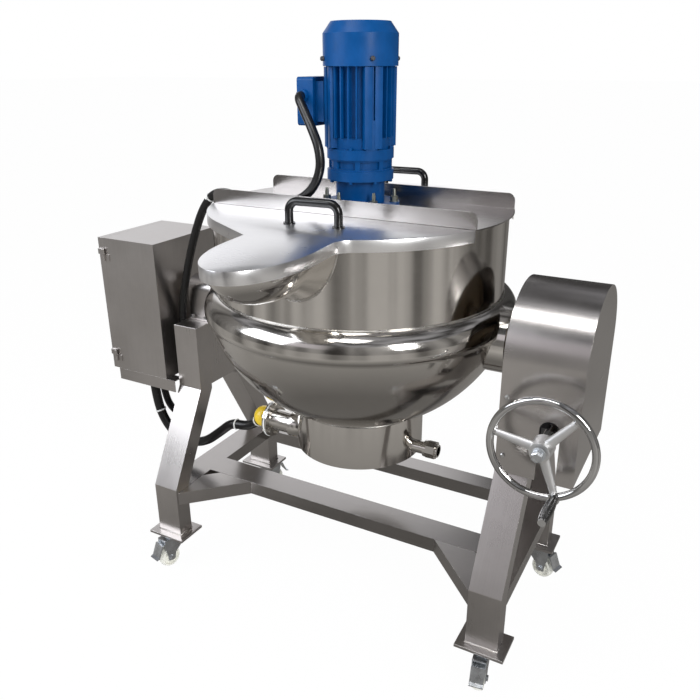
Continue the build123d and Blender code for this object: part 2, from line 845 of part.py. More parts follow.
with BuildPart() as handwheel:
    wheel_plane = Plane(origin=(worm_x, -handwheel_reach, worm_height), x_dir=(1, 0, 0),
                        z_dir=(0, -1, 0))
    rim_centre = handwheel_radius - rim_tube_radius
    with BuildSketch(Plane(origin=(worm_x, -handwheel_reach, worm_height), x_dir=(1, 0, 0),
                           z_dir=(0, 0, 1))):
        with Locations((rim_centre, 0)):
            Circle(rim_tube_radius)
    revolve(axis=Axis((worm_x, -handwheel_reach, worm_height), (0, 1, 0)))
    with BuildSketch(wheel_plane.offset(-hub_length / 2)):
        Circle(hub_radius)
    extrude(amount=hub_length - 6, taper=4)
    for spoke in range(spoke_count):
        turn = radians(spoke_turn + 360 * spoke / spoke_count)
        direction = (cos(turn), 0, sin(turn))
        root_place = (worm_x + 18 * cos(turn), -handwheel_reach, worm_height + 18 * sin(turn))
        tip_place = (worm_x + rim_centre * cos(turn), -handwheel_reach,
                     worm_height + rim_centre * sin(turn))
        with BuildSketch(Plane(origin=root_place, x_dir=(0, 1, 0), z_dir=direction)):
            Ellipse(8, 12)
        with BuildSketch(Plane(origin=tip_place, x_dir=(0, 1, 0), z_dir=direction)):
            Ellipse(6, 7.5)
        loft()
    crank_turn = radians(spoke_turn + 360 * 2 / spoke_count)
    crank_x = worm_x + rim_centre * cos(crank_turn)
    crank_z = worm_height + rim_centre * sin(crank_turn)
    with BuildSketch(Plane(origin=(crank_x, -handwheel_reach, crank_z), x_dir=(1, 0, 0),
                           z_dir=(0, -1, 0))):
        Circle(rim_tube_radius + 4)
    extrude(amount=rim_tube_radius + 3)
    with BuildSketch(wheel_plane.offset(-hub_length / 2 - 1)):
        Circle(worm_shaft_radius)
    extrude(amount=hub_length + 2, mode=Mode.SUBTRACT)
    with BuildSketch(Plane(origin=(crank_x, -handwheel_reach, crank_z), x_dir=(1, 0, 0),
                           z_dir=(0, -1, 0))):
        Circle(crank_pin_radius)
    extrude(amount=rim_tube_radius + 3 + crank_grip_length + 6)
    with BuildSketch(Plane(origin=(crank_x, -handwheel_reach - rim_tube_radius - 3
                                   - crank_grip_length - 2 * body_gap, crank_z),
                           x_dir=(1, 0, 0), z_dir=(0, -1, 0))):
        Circle(crank_pin_radius + 3.5)
    extrude(amount=6)
save(handwheel, "handwheel")

grip_start = handwheel_reach + rim_tube_radius + 3 + body_gap
with BuildPart() as crank_grip:
    with BuildSketch(Plane(origin=(crank_x, -grip_start, crank_z), x_dir=(1, 0, 0),
                           z_dir=(0, 0, 1))):
        with BuildLine():
            bore = crank_pin_radius + running_clearance
            Polyline((bore, 0), (crank_grip_radius - 3, 0))
            ThreePointArc((crank_grip_radius - 3, 0), (crank_grip_radius, -0.4 * crank_grip_length),
                          (crank_grip_radius - 2, -crank_grip_length))
            Polyline((crank_grip_radius - 2, -crank_grip_length), (bore, -crank_grip_length),
                     (bore, 0))
        make_face()
    revolve(axis=Axis((crank_x, 0, crank_z), (0, 1, 0)))
save(crank_grip, "crank_grip")

with BuildPart() as gear_cover:
    for inset, start, amount, mode in (
            (0, cover_inner_x, cover_outer_x - cover_inner_x, Mode.ADD),
            (cover_sheet, cover_inner_x, cover_outer_x - cover_inner_x - cover_sheet,
             Mode.SUBTRACT)):
        half = cover_radius - inset
        with BuildSketch(Plane.YZ.offset(start)):
            with BuildLine():
                Polyline((half, trunnion_height), (half, cover_bottom), (-half, cover_bottom),
                         (-half, trunnion_height))
                ThreePointArc((-half, trunnion_height), (0, trunnion_height + half),
                              (half, trunnion_height))
            make_face()
        extrude(amount=amount, mode=mode)
    slot_centre = cover_slot_top - cover_slot_width / 2
    with BuildSketch(Plane.XZ.offset(cover_radius)):
        with Locations((worm_x, slot_centre)):
            Circle(cover_slot_width / 2)
        with Locations((worm_x, (slot_centre + cover_bottom) / 2)):
            Rectangle(cover_slot_width, slot_centre - cover_bottom)
    extrude(amount=-cover_sheet, mode=Mode.SUBTRACT)
save(gear_cover, "gear_cover")

with BuildPart() as cover_tabs:
    for height in (cover_tab_upper, cover_tab_lower):
        with BuildSketch(Plane.XY.offset(height - cover_tab_height / 2)):
            for sign in (-1, 1):
                middle_y = sign * (post_reach + cover_radius - cover_sheet) / 2
                reach = cover_radius - cover_sheet - post_reach
                with Locations((cover_inner_x + 4 + cover_tab_width / 2, middle_y)):
                    Rectangle(cover_tab_width, reach)
        extrude(amount=cover_tab_height)
save(cover_tabs, "cover_tabs")

# ======================= control box =======================
with BuildPart() as control_box:
    with BuildSketch(Plane.YZ.offset(box_inner_x)):
        with Locations((0, box_bottom + box_height / 2)):
            Rectangle(box_width, box_height)
    extrude(amount=-box_depth)
    with BuildSketch(Plane.YZ.offset(box_inner_x - box_sheet)):
        with Locations((0, box_bottom + box_height / 2)):
            Rectangle(box_width - 2 * box_sheet, box_height - 2 * box_sheet)
    extrude(amount=-(box_depth - 2 * box_sheet), mode=Mode.SUBTRACT)
    with BuildSketch(Plane.YZ.offset(box_outer_x)):
        with Locations((0, box_bottom + box_height / 2)):
            Rectangle(box_width - 2 * door_lip, box_height - 2 * door_lip)
    extrude(amount=box_sheet, mode=Mode.SUBTRACT)
    for height in (upper_hinge, lower_hinge):
        with BuildSketch(Plane.XY.offset(height - hinge_barrel_length)):
            with Locations((hinge_x, hinge_y)):
                Circle(hinge_barrel_radius)
            with Locations((hinge_x + 9, box_front - 1.25)):
                Rectangle(18, 2.5)
            with Locations((hinge_x + 1.5, (box_front + hinge_y) / 2)):
                Rectangle(3, hinge_offset)
        extrude(amount=hinge_barrel_length)
        with BuildSketch(Plane.XY.offset(height)):
            with Locations((hinge_x, hinge_y)):
                Circle(hinge_pin_radius)
        extrude(amount=hinge_barrel_length)
save(control_box, "control_box")

start_place = (-45, box_top - 110)
stop_place = (45, box_top - 110)
emergency_place = (0, box_top - 200)
lock_place = (box_back - 28, box_bottom + box_height / 2)

with BuildPart() as control_door:
    with BuildSketch(Plane.YZ.offset(door_outer_x)):
        with Locations((0, box_bottom + box_height / 2)):
            Rectangle(box_width, box_height)
    extrude(amount=door_depth)
    with BuildSketch(Plane.YZ.offset(door_outer_x + box_sheet)):
        with Locations((0, box_bottom + box_height / 2)):
            Rectangle(box_width - 2 * box_sheet, box_height - 2 * box_sheet)
    extrude(amount=door_depth - box_sheet, mode=Mode.SUBTRACT)
    bezel = 3.0
    for place, radius in ((start_place, button_radius), (stop_place, button_radius),
                          (emergency_place, button_radius), (lock_place, lock_radius)):
        with BuildSketch(Plane.YZ.offset(door_outer_x)):
            with Locations(place):
                Circle(radius + 4)
        extrude(amount=-bezel)
    for place, radius in ((start_place, button_radius), (stop_place, button_radius),
                          (emergency_place, button_radius), (lock_place, lock_radius)):
        with BuildSketch(Plane.YZ.offset(door_outer_x - bezel)):
            with Locations(place):
                Circle(radius + running_clearance)
        extrude(amount=bezel + box_sheet, mode=Mode.SUBTRACT)
    for height in (upper_hinge, lower_hinge):
        with BuildSketch(Plane.XY.offset(height + body_gap)):
            with Locations((hinge_x, hinge_y)):
                Circle(hinge_barrel_radius)
            with Locations(((hinge_x + door_outer_x) / 2 - 1, (box_front + hinge_y) / 2)):
                Rectangle(hinge_x - door_outer_x - 4, hinge_offset)
        extrude(amount=hinge_barrel_length - 2)
        with BuildSketch(Plane.XY.offset(height + body_gap)):
            with Locations((hinge_x, hinge_y)):
                Circle(hinge_pin_radius + running_clearance)
        extrude(amount=hinge_barrel_length - 2, mode=Mode.SUBTRACT)
save(control_door, "control_door")


def make_button(name, place, stem, cap, cap_height):
    """A push button: a cap in front of its bezel on a stem that passes through the door."""
    front = door_outer_x - bezel
    with BuildPart() as button:
        with BuildSketch(Plane.YZ.offset(front - 5)):
            with Locations(place):
                Circle(stem)
        extrude(amount=bezel + 12)
        if cap > stem:
            with BuildSketch(Plane.YZ.offset(front - 5)):
                with Locations(place):
                    Circle(cap)
            extrude(amount=-cap_height)
            fillet(button.faces().sort_by(Axis.X)[0].edges(), cap_height * 0.4)
        with BuildSketch(Plane.YZ.offset(door_outer_x + box_sheet + 5)):
            with Locations(place):
                Circle(stem + 2)
        extrude(amount=2)
    save(button, name)


make_button("start_button", start_place, button_radius, button_radius, 0)
make_button("stop_button", stop_place, button_radius, button_radius, 0)
make_button("emergency_button", emergency_place, button_radius, emergency_radius, 12)

with BuildPart() as door_lock:
    with BuildSketch(Plane.YZ.offset(door_outer_x - bezel - 2)):
        with Locations(lock_place):
            Circle(lock_radius)
    extrude(amount=bezel + box_sheet + 5)
    with BuildSketch(Plane.YZ.offset(door_outer_x - bezel - 2)):
        with Locations(lock_place):
            Rectangle(5, 2 * lock_radius - 4)
    extrude(amount=-12)
    with BuildSketch(Plane.YZ.offset(door_outer_x + box_sheet + 3)):
        with Locations(lock_place):
            Rectangle(12, 2 * lock_radius + 8)
    extrude(amount=3)
save(door_lock, "door_lock")

with BuildPart() as box_shelf:
    shelf_length = left_outer - box_outer_x
    for height, leaf in ((shelf_leg, shelf_sheet), (shelf_sheet, shelf_leg)):
        with BuildSketch(Plane.XY.offset(box_bottom - height)):
            with Locations((left_outer - shelf_length / 2, 0)):
                Rectangle(shelf_length, box_width)
            with Locations((left_outer - shelf_length / 2 + leaf, 0)):
                Rectangle(shelf_length, box_width - 2 * leaf, mode=Mode.SUBTRACT)
        extrude(amount=height)
save(box_shelf, "box_shelf")

# ======================= heater housing =======================
with BuildPart() as heater_housing:
    with BuildSketch(Plane.XY.offset(heater_bottom)):
        Circle(heater_radius)
    extrude(amount=bowl_centre - heater_bottom - 200)
    with BuildSketch(Plane.XY.offset(heater_bottom + heater_wall)):
        Circle(heater_radius - heater_wall)
    extrude(amount=bowl_centre - heater_bottom, mode=Mode.SUBTRACT)
    add(jacket_form.part, mode=Mode.SUBTRACT)
save(heater_housing, "heater_housing")

with BuildPart() as heater_nozzle:
    boss_face = -sqrt(heater_radius ** 2 - nozzle_y ** 2) - boss_depth
    with BuildSketch(Plane.YZ.offset(boss_face)):
        with Locations((nozzle_y, nozzle_height)):
            Rectangle(boss_width, boss_height)
    extrude(amount=-boss_face - heater_radius / 2)
    with BuildSketch(Plane.YZ.offset(nozzle_end)):
        with Locations((nozzle_y, nozzle_height)):
            Circle(nozzle_radius)
    extrude(amount=boss_face - nozzle_end)
    with BuildSketch(Plane.XY.offset(heater_bottom - 50)):
        Circle(heater_radius)
    extrude(amount=200, mode=Mode.SUBTRACT)
    with BuildSketch(Plane.YZ.offset(nozzle_end)):
        with Locations((nozzle_y, nozzle_height)):
            Circle(nozzle_flange_radius)
    extrude(amount=-nozzle_flange_thickness)
    flange_face = nozzle_end - nozzle_flange_thickness
    with BuildSketch(Plane.YZ.offset(flange_face)):
        with Locations((nozzle_y, nozzle_height)):
            with PolarLocations(nozzle_flange_radius - 10, 6, start_angle=30):
                RegularPolygon(5.5, 6)
    extrude(amount=-6)
save(heater_nozzle, "heater_nozzle")

with BuildPart() as nozzle_cap:
    with BuildSketch(Plane(origin=(flange_face, nozzle_y, nozzle_height), x_dir=(-1, 0, 0),
                           z_dir=(0, 1, 0))):
        with BuildLine():
            Polyline((0, 0), (0, nozzle_cap_radius),
                     (nozzle_cap_length - nozzle_cap_radius, nozzle_cap_radius))
            ThreePointArc(
                (nozzle_cap_length - nozzle_cap_radius, nozzle_cap_radius),
                (nozzle_cap_length - nozzle_cap_radius * (1 - cos(pi / 4)),
                 nozzle_cap_radius * sin(pi / 4)),
                (nozzle_cap_length, 0))
            Line((nozzle_cap_length, 0), (0, 0))
        make_face()
    revolve(axis=Axis((0, nozzle_y, nozzle_height), (1, 0, 0)))
save(nozzle_cap, "nozzle_cap")

with BuildPart() as drain_union:
    with BuildSketch(Plane.YZ.offset(heater_radius / 2)):
        with Locations((drain_y, drain_height)):
            Circle(drain_pipe_radius)
    extrude(amount=drain_end - heater_radius / 2)
    with BuildSketch(Plane.XY.offset(heater_bottom - 50)):
        Circle(heater_radius)
    extrude(amount=200, mode=Mode.SUBTRACT)
    with BuildSketch(Plane.YZ.offset(drain_end - union_length)):
        with Locations((drain_y, drain_height)):
            RegularPolygon(union_radius, 8)
    extrude(amount=union_length - 6)
    with BuildSketch(Plane.YZ.offset(drain_end - union_length - 8)):
        with Locations((drain_y, drain_height)):
            Circle(union_radius - 2)
    extrude(amount=8)
    with BuildSketch(Plane.YZ.offset(drain_end)):
        with Locations((drain_y, drain_height)):
            Circle(drain_bore_radius)
    extrude(amount=-(drain_end - heater_radius - 8), mode=Mode.SUBTRACT)
save(drain_union, "drain_union")

# ======================= bridge and drive =======================
with BuildPart() as bridge:
    with BuildSketch(Plane.XY.offset(bridge_floor)):
        Circle(lid_radius)
        Rectangle(2 * lid_radius, 2 * bridge_half_width, mode=Mode.INTERSECT)
        Circle(shaft_radius + 6, mode=Mode.SUBTRACT)
    extrude(amount=bridge_sheet)
    flange_length = 2 * sqrt(lid_radius ** 2 - bridge_half_width ** 2)
    for sign in (-1, 1):
        outer_y = sign * bridge_half_width
        with BuildSketch(Plane.XZ.offset(-outer_y)):
            with Locations((0, (bridge_floor + bridge_top) / 2)):
                Rectangle(flange_length, bridge_top - bridge_floor)
            upper = [corner for corner in vertices() if corner.Z > bridge_floor + 1
                     or corner.Y > bridge_floor + 1]
            fillet(upper, bridge_corner)
        extrude(amount=sign * bridge_sheet)
save(bridge, "bridge")

with BuildPart() as gear_reducer:
    with BuildSketch(Plane.XY.offset(base_flange_bottom)):
        Circle(base_flange_radius)
    extrude(amount=base_flange_height)
    with BuildSketch(Plane.XY.offset(base_flange_bottom)):
        Circle(neck_radius)
    extrude(amount=neck_top - base_flange_bottom)
    with BuildSketch(Plane.XY.offset(neck_top)):
        Circle(ring_radius)
    extrude(amount=ring_height)
    with BuildSketch(Plane.XY.offset(ring_one_top)):
        Circle(window_ring_radius)
    extrude(amount=window_ring_height)
    with BuildSketch(Plane.XY.offset(ring_one_top + 4)):
        Circle(window_ring_radius + 1)
        Circle(window_ring_radius - 6, mode=Mode.SUBTRACT)
        with PolarLocations(window_ring_radius, window_count, start_angle=22.5):
            Rectangle(30, 12, mode=Mode.SUBTRACT)
    extrude(amount=window_ring_height - 8, mode=Mode.SUBTRACT)
    with BuildSketch(Plane.XY.offset(window_top)):
        Circle(ring_radius)
    extrude(amount=ring_height)
    with BuildSketch(Plane.XY.offset(base_flange_bottom + base_flange_height)):
        with PolarLocations(base_flange_radius - 13, 6, start_angle=20):
            RegularPolygon(8, 6)
    extrude(amount=9)
    with BuildSketch(Plane.XY.offset(base_flange_bottom + base_flange_height)):
        with PolarLocations(base_flange_radius - 13, 6, start_angle=20):
            Circle(4)
    extrude(amount=22)
    with BuildSketch(Plane.XY.offset(base_flange_bottom)):
        Circle(shaft_radius + running_clearance)
    extrude(amount=neck_top - base_flange_bottom + 5, mode=Mode.SUBTRACT)
save(gear_reducer, "gear_reducer")

with BuildPart() as drive_motor:
    with BuildSketch(Plane.XY.offset(ring_two_top)):
        Circle(end_shield_radius)
    extrude(amount=end_shield_height)
    with BuildSketch(Plane.XY.offset(shield_top)):
        Circle(stator_radius)
        with PolarLocations((stator_radius + fin_radius) / 2 - 2, fin_count):
            Rectangle(fin_radius - stator_radius + 4, fin_thickness)
    extrude(amount=stator_height)
    with BuildSketch(Plane.XY.offset(ring_two_top)):
        with PolarLocations(end_shield_radius + 2, 4, start_angle=45):
            Rectangle(18, 22)
    extrude(amount=end_shield_height + 40)
    with BuildSketch(Plane.XY.offset(stator_top)):
        Circle(fin_radius - 10)
    extrude(amount=20)
save(drive_motor, "drive_motor")

with BuildPart() as fan_cowl:
    with BuildSketch(Plane.XZ):
        with BuildLine():
            Polyline(
                (cowl_radius, stator_top), (cowl_radius, cowl_top - cowl_chamfer_height),
                (cowl_radius - cowl_chamfer_width, cowl_top), (0, cowl_top),
                (0, cowl_top - cowl_sheet), (cowl_radius - cowl_chamfer_width - 1,
                                             cowl_top - cowl_sheet),
                (cowl_radius - cowl_sheet, cowl_top - cowl_chamfer_height - 1),
                (cowl_radius - cowl_sheet, stator_top), close=True)
        make_face()
    revolve(axis=Axis.Z)
    with BuildSketch(Plane.XY.offset(cowl_top - cowl_sheet)):
        with PolarLocations(38, cowl_slots):
            SlotOverall(34, 6)
    extrude(amount=cowl_sheet, mode=Mode.SUBTRACT)
    with BuildSketch(Plane.XY.offset(stator_top)):
        Circle(cowl_radius - cowl_sheet)
        Circle(fin_radius - 10, mode=Mode.SUBTRACT)
    extrude(amount=6)
save(fan_cowl, "fan_cowl")

terminal_bottom = shield_top + 22
with BuildPart() as terminal_box:
    with BuildSketch(Plane.YZ.offset(-fin_radius + 2)):
        with Locations((0, terminal_bottom + terminal_box_height / 2)):
            Rectangle(terminal_box_width - 24, terminal_box_height - 20)
    extrude(amount=-terminal_neck)
    with BuildSketch(Plane.YZ.offset(-fin_radius + 2 - terminal_neck)):
        with Locations((0, terminal_bottom + terminal_box_height / 2)):
            RectangleRounded(terminal_box_width, terminal_box_height, 8)
    extrude(amount=-terminal_box_depth)
    gland_place = (-fin_radius + 2 - terminal_neck - terminal_box_depth / 2 - 4,
                   terminal_bottom + 68)
    with BuildSketch(Plane.XZ.offset(terminal_box_width / 2)):
        with Locations(gland_place):
            Circle(conduit_radius + 4)
    extrude(amount=gland_length)
    with BuildSketch(Plane.XY.offset(shield_top)):
        Circle(hypot(fin_radius, fin_thickness / 2))
    extrude(amount=stator_height, mode=Mode.SUBTRACT)
save(terminal_box, "terminal_box")

# ======================= lids =======================


def lid_outline(inset):
    """Draw the lid's plan in the open sketch: the pot's circle and the lobe over the spout."""
    Circle(lid_radius - inset)
    turn = radians(-90 + spout_turn)
    half = spout_half_width + lid_spout_margin - inset
    straight = spout_reach - spout_half_width
    with Locations(Location((straight / 2 * cos(turn), straight / 2 * sin(turn), 0),
                            (0, 0, -90 + spout_turn))):
        Rectangle(straight, 2 * half)
    with Locations((straight * cos(turn), straight * sin(turn))):
        Circle(half)


def make_lid(name, front):
    """One half of the cover: a flat sheet with a folded skirt round its outer edge."""
    sign = -1 if front else 1
    keep = Location((0, sign * (lid_edge + spout_reach), 0))
    with BuildPart() as lid:
        with BuildSketch(Plane.XY.offset(lid_underside)):
            if front:
                lid_outline(0)
            else:
                Circle(lid_radius)
            with Locations(keep):
                Rectangle(4 * lid_radius, 2 * spout_reach, mode=Mode.INTERSECT)
        extrude(amount=lid_sheet)
        with BuildSketch(Plane.XY.offset(lid_top - lid_skirt)):
            if front:
                lid_outline(0)
            else:
                Circle(lid_radius)
            with Locations(keep):
                Rectangle(4 * lid_radius, 2 * spout_reach, mode=Mode.INTERSECT)
        extrude(amount=lid_skirt - lid_sheet)
        with BuildSketch(Plane.XY.offset(lid_top - lid_skirt)):
            if front:
                lid_outline(lid_sheet)
            else:
                Circle(lid_radius - lid_sheet)
        extrude(amount=lid_skirt - lid_sheet, mode=Mode.SUBTRACT)
    save(lid, name)


make_lid("front_lid", True)
make_lid("rear_lid", False)


def make_handle(name, centre, turn):
    """Bent round bar standing on a lid, with a flat foot under each leg."""
    half = handle_width / 2
    plane = Plane(origin=(centre[0], centre[1], lid_top),
                  x_dir=(cos(radians(turn)), sin(radians(turn)), 0),
                  z_dir=(sin(radians(turn)), -cos(radians(turn)), 0))
    foot = 3.0
    with BuildPart() as handle:
        with BuildLine(plane) as bar:
            FilletPolyline((-half, foot), (-half, handle_height), (half, handle_height),
                           (half, foot), radius=handle_corner)
        with BuildSketch(Plane(origin=bar.line @ 0, z_dir=bar.line % 0)):
            Circle(handle_bar_radius)
        sweep(path=bar.line)
        for end in (-half, half):
            centre_point = plane.from_local_coords(Vector(end, 0, 0))
            with BuildSketch(Plane(origin=centre_point, x_dir=plane.x_dir, z_dir=(0, 0, 1))):
                Circle(handle_bar_radius + 4)
            extrude(amount=foot)
    save(handle, name)


handle_turn = radians(-90 + spout_turn)
make_handle("front_handle", (front_handle_reach * cos(handle_turn),
                             front_handle_reach * sin(handle_turn)), spout_turn)
make_handle("rear_handle", (-rear_handle_reach * sin(radians(spout_turn / 2)),
                            rear_handle_reach * cos(radians(spout_turn / 2))), spout_turn / 2)

# ======================= agitator =======================
inner_radius = pot_radius - pot_wall
inner_depth = pot_depth_below_shoulder - pot_wall


def anchor_outline(gap):
    """Draw half of the anchor's outline at a gap inside the pot, from the bottom to the arm."""
    EllipticalCenterArc((0, shoulder_height), inner_radius - gap, inner_depth - gap,
                        start_angle=180, arc_size=180)
    Polyline((inner_radius - gap, shoulder_height), (inner_radius - gap, arm_top),
             (-inner_radius + gap, arm_top), (-inner_radius + gap, shoulder_height))


with BuildPart() as agitator_frame:
    with BuildSketch(Plane.XZ.offset(-blade_thickness / 2)):
        with BuildLine():
            anchor_outline(blade_gap)
        make_face()
        with BuildLine():
            anchor_outline(blade_gap + blade_width)
        make_face(mode=Mode.SUBTRACT)
    extrude(amount=blade_thickness)
    with BuildSketch(Plane.YZ.offset(-(inner_radius - blade_gap - blade_width / 2))):
        with Locations((0, crossbar_height)):
            Circle(crossbar_radius)
    extrude(amount=2 * (inner_radius - blade_gap - blade_width / 2))
    with BuildSketch(Plane.XY.offset(shoulder_height - inner_depth + blade_gap + blade_width / 2)):
        Circle(shaft_radius)
    extrude(amount=neck_top - shoulder_height + inner_depth - blade_gap - blade_width / 2)
save(agitator_frame, "agitator_frame")

with BuildPart() as scrapers:
    with BuildSketch(Plane.XZ.offset(-scraper_thickness / 2)):
        with BuildLine():
            anchor_outline(scraper_gap)
        make_face()
        with BuildLine():
            anchor_outline(blade_gap)
        make_face(mode=Mode.SUBTRACT)
        for cut in range(7):
            angle = 180 + 22.5 + cut * 22.5
            with Locations(Location((0, shoulder_height, 0), (0, 0, angle))):
                with Locations((inner_radius, 0)):
                    Rectangle(2 * inner_radius - 200, 16, mode=Mode.SUBTRACT)
    extrude(amount=scraper_thickness)
save(scrapers, "scrapers")

# ======================= flexible conduits =======================
gland_x, gland_z = gland_place
tray_level = bridge_floor + bridge_sheet + conduit_radius + 1
gap_x = left_outer - box_gap / 2
motor_points = [
    (gland_x, -terminal_box_width / 2 - gland_length, gland_z),
    (gland_x, -84, gland_z),
    (-106, -106, gland_z - 20),
    (-70, -117, gland_z - 58),
    (-44, -117, gland_z - 110),
    (-44, -116, 1178),
    (-74, -115, 1127),
    (-126, -113, tray_level),
    (-196, -113, tray_level)]
tube("motor_conduit", motor_points, conduit_radius)

bridge_points = [
    (-196, -113, tray_level),
    (-262, -113, tray_level),
    (-352, -112, 1112),
    (-412, -98, 1062),
    (-462, -82, 985),
    (-510, -70, 880),
    (gap_x, -60, 740),
    (gap_x - 0.4, -58, 570),
    (gap_x - 0.4, -54, 415),
    (-632, -36, 371),
    (-706, -16, 415),
    (-706, -16, box_bottom)]
tube("bridge_conduit", bridge_points, conduit_radius)

heater_points = [
    (-690, -66, box_bottom),
    (-690, -66, 440),
    (-660, -66, 350),
    (-590, -68, 306),
    (-505, -68, 322),
    (-440, -62, 380),
    (-398, nozzle_y, 440),
    (-360, nozzle_y, nozzle_height),
    (flange_face - nozzle_cap_length, nozzle_y, nozzle_height)]
tube("heater_conduit", heater_points, lead_radius)
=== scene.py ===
"""A tilting steam jacketed kettle on its stand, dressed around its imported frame."""

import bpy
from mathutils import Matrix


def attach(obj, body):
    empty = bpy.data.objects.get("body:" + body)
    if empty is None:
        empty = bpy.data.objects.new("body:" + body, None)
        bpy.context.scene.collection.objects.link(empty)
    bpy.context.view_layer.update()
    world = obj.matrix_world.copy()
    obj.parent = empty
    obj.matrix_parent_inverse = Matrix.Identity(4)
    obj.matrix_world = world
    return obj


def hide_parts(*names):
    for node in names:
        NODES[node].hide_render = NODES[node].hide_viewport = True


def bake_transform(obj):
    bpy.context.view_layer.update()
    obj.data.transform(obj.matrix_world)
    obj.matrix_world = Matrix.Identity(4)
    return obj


bl_info = {
    "name": "Steam Jacketed Kettle",
    "version": (1, 0, 0),
    "blender": (4, 5, 0),
    "location": "View3D > Sidebar > Kettle",
    "description": "Finishes a tilting steam kettle with its conduits, fasteners and welds",
    "category": "Object",
}

from math import atan2, cos, hypot, pi, radians, sin

import bmesh
import bpy
from mathutils import Matrix, Vector

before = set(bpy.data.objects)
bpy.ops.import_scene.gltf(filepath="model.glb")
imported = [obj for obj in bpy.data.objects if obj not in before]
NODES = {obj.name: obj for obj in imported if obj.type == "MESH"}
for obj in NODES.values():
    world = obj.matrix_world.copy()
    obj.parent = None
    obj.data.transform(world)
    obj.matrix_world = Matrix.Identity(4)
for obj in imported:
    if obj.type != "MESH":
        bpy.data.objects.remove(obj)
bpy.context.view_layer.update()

# ---- where things are, in metres ----
LEFT_LEG_X, RIGHT_LEG_X = -0.5025, 0.462
LEG_WIDTH, LEG_DEPTH = 0.08, 0.05
FOOT_Y, FOOT_HEIGHT = 0.231, 0.1125
WORM_X, WORM_HEIGHT = 0.548, 0.656
HANDWHEEL_RIM, HUB_FACE_Y = 0.101, -0.248
BEARING_TOP, BEARING_BOLT_X, BEARING_BOLT_Y = 0.722, 0.024, 0.0455
COVER_SCREW_X, COVER_HALF = 0.449, 0.16
COVER_SCREW_HEIGHTS = (0.727, 0.583)
COWL_RADIUS, COWL_SCREW_HEIGHT = 0.087, 1.419
PAD_RADIUS, PAD_HEIGHT, PAD_TURN, PAD_APART = 0.072, 1.3135, -41, 0.0125
PAD_SIZE = (0.021, 0.018, 0.177)
RING_BOLT_RADIUS = 0.0752
RING_FACES = ((1.150, -1), (1.222, 1))
STUD_RADIUS, STUD_SEAT = 0.083, 1.095
RIM_HEIGHT = 1.08
LID_TOP = 1.0823
CORNERS = ("front_left", "front_right", "rear_right", "rear_left")
SPOUT_TURN = radians(5.5)
SPOUT_HALF, LOBE_HALF = 0.095, 0.100
SPOUT_STRAIGHT = 0.455
SPOUT_NOSE, LOBE_NOSE = 0.192, 0.198
SPOUT_DEPTH, SPOUT_DEPTH_AT_POT = 0.102, 0.137
LID_RADIUS, LID_SHEET, LID_SKIRT, LID_EDGE = 0.373, 0.002, 0.026, 0.138
LOBE_FILLET = 0.045
LOBE_FLARE = radians(36.5)
POT_RADIUS, SHOULDER_HEIGHT = 0.362, 0.884
BULGE_RADIUS, BULGE_HEIGHT = 0.397, 0.838
BOWL_RADIUS, BOWL_BOTTOM, SHOULDER_BOW = 0.405, 0.520, 0.007
JACKET_WALL = 0.004
HEATER_RADIUS = 0.172
NOZZLE_Y, NOZZLE_HEIGHT, FLANGE_BOLTS = -0.055, 0.460, 0.0415

WALL_RADIUS = 6.0
WALL_HEIGHT = 4.6
CEILING_HEIGHT = 4.6
MAT_HEIGHT = 0.002
BRIGHT_SIDE = (-0.62, 0.785)
BRIGHT_FRONT = (-0.48, -0.877)
DARK_BACK = (0.05, 0.9987)

# The conduits' routes: control points of their centre lines, and for two of them the bodies and points where
# they would start and stop bending; only the pair's presence is used, to leave those two unparented.
MOTOR_ROUTE = [
    (-0.126, -0.060, 1.338), (-0.126, -0.075, 1.338), (-0.101, -0.089, 1.308), (-0.072, -0.105, 1.272),
    (-0.046, -0.115, 1.228), (-0.042, -0.116, 1.178), (-0.070, -0.115, 1.127), (-0.126, -0.113, 1.095),
    (-0.196, -0.113, 1.095)]
BRIDGE_ROUTE = [
    (-0.196, -0.113, 1.095), (-0.262, -0.113, 1.095), (-0.352, -0.112, 1.112), (-0.412, -0.098, 1.062),
    (-0.462, -0.082, 0.985), (-0.510, -0.070, 0.880), (-0.5575, -0.060, 0.740), (-0.5579, -0.058, 0.570),
    (-0.5579, -0.054, 0.415), (-0.632, -0.036, 0.371), (-0.706, -0.016, 0.415), (-0.706, -0.016, 0.546)]
HEATER_ROUTE = [
    (-0.690, -0.066, 0.546), (-0.690, -0.066, 0.440), (-0.660, -0.066, 0.350), (-0.590, -0.068, 0.306),
    (-0.505, -0.068, 0.322), (-0.444, -0.063, 0.372), (-0.402, -0.058, 0.410), (-0.360, -0.056, 0.410),
    (-0.326, -0.055, 0.422), (-0.302, -0.055, 0.443)]
BRIDGE_BEND = ("kettle", "stand", (-0.38, -0.10, 1.08), (-0.55, -0.06, 0.76))
HEATER_BEND = ("stand", "kettle", (-0.62, -0.068, 0.33), (-0.36, -0.056, 0.41))


# ---------------------------------------------------------------- settings

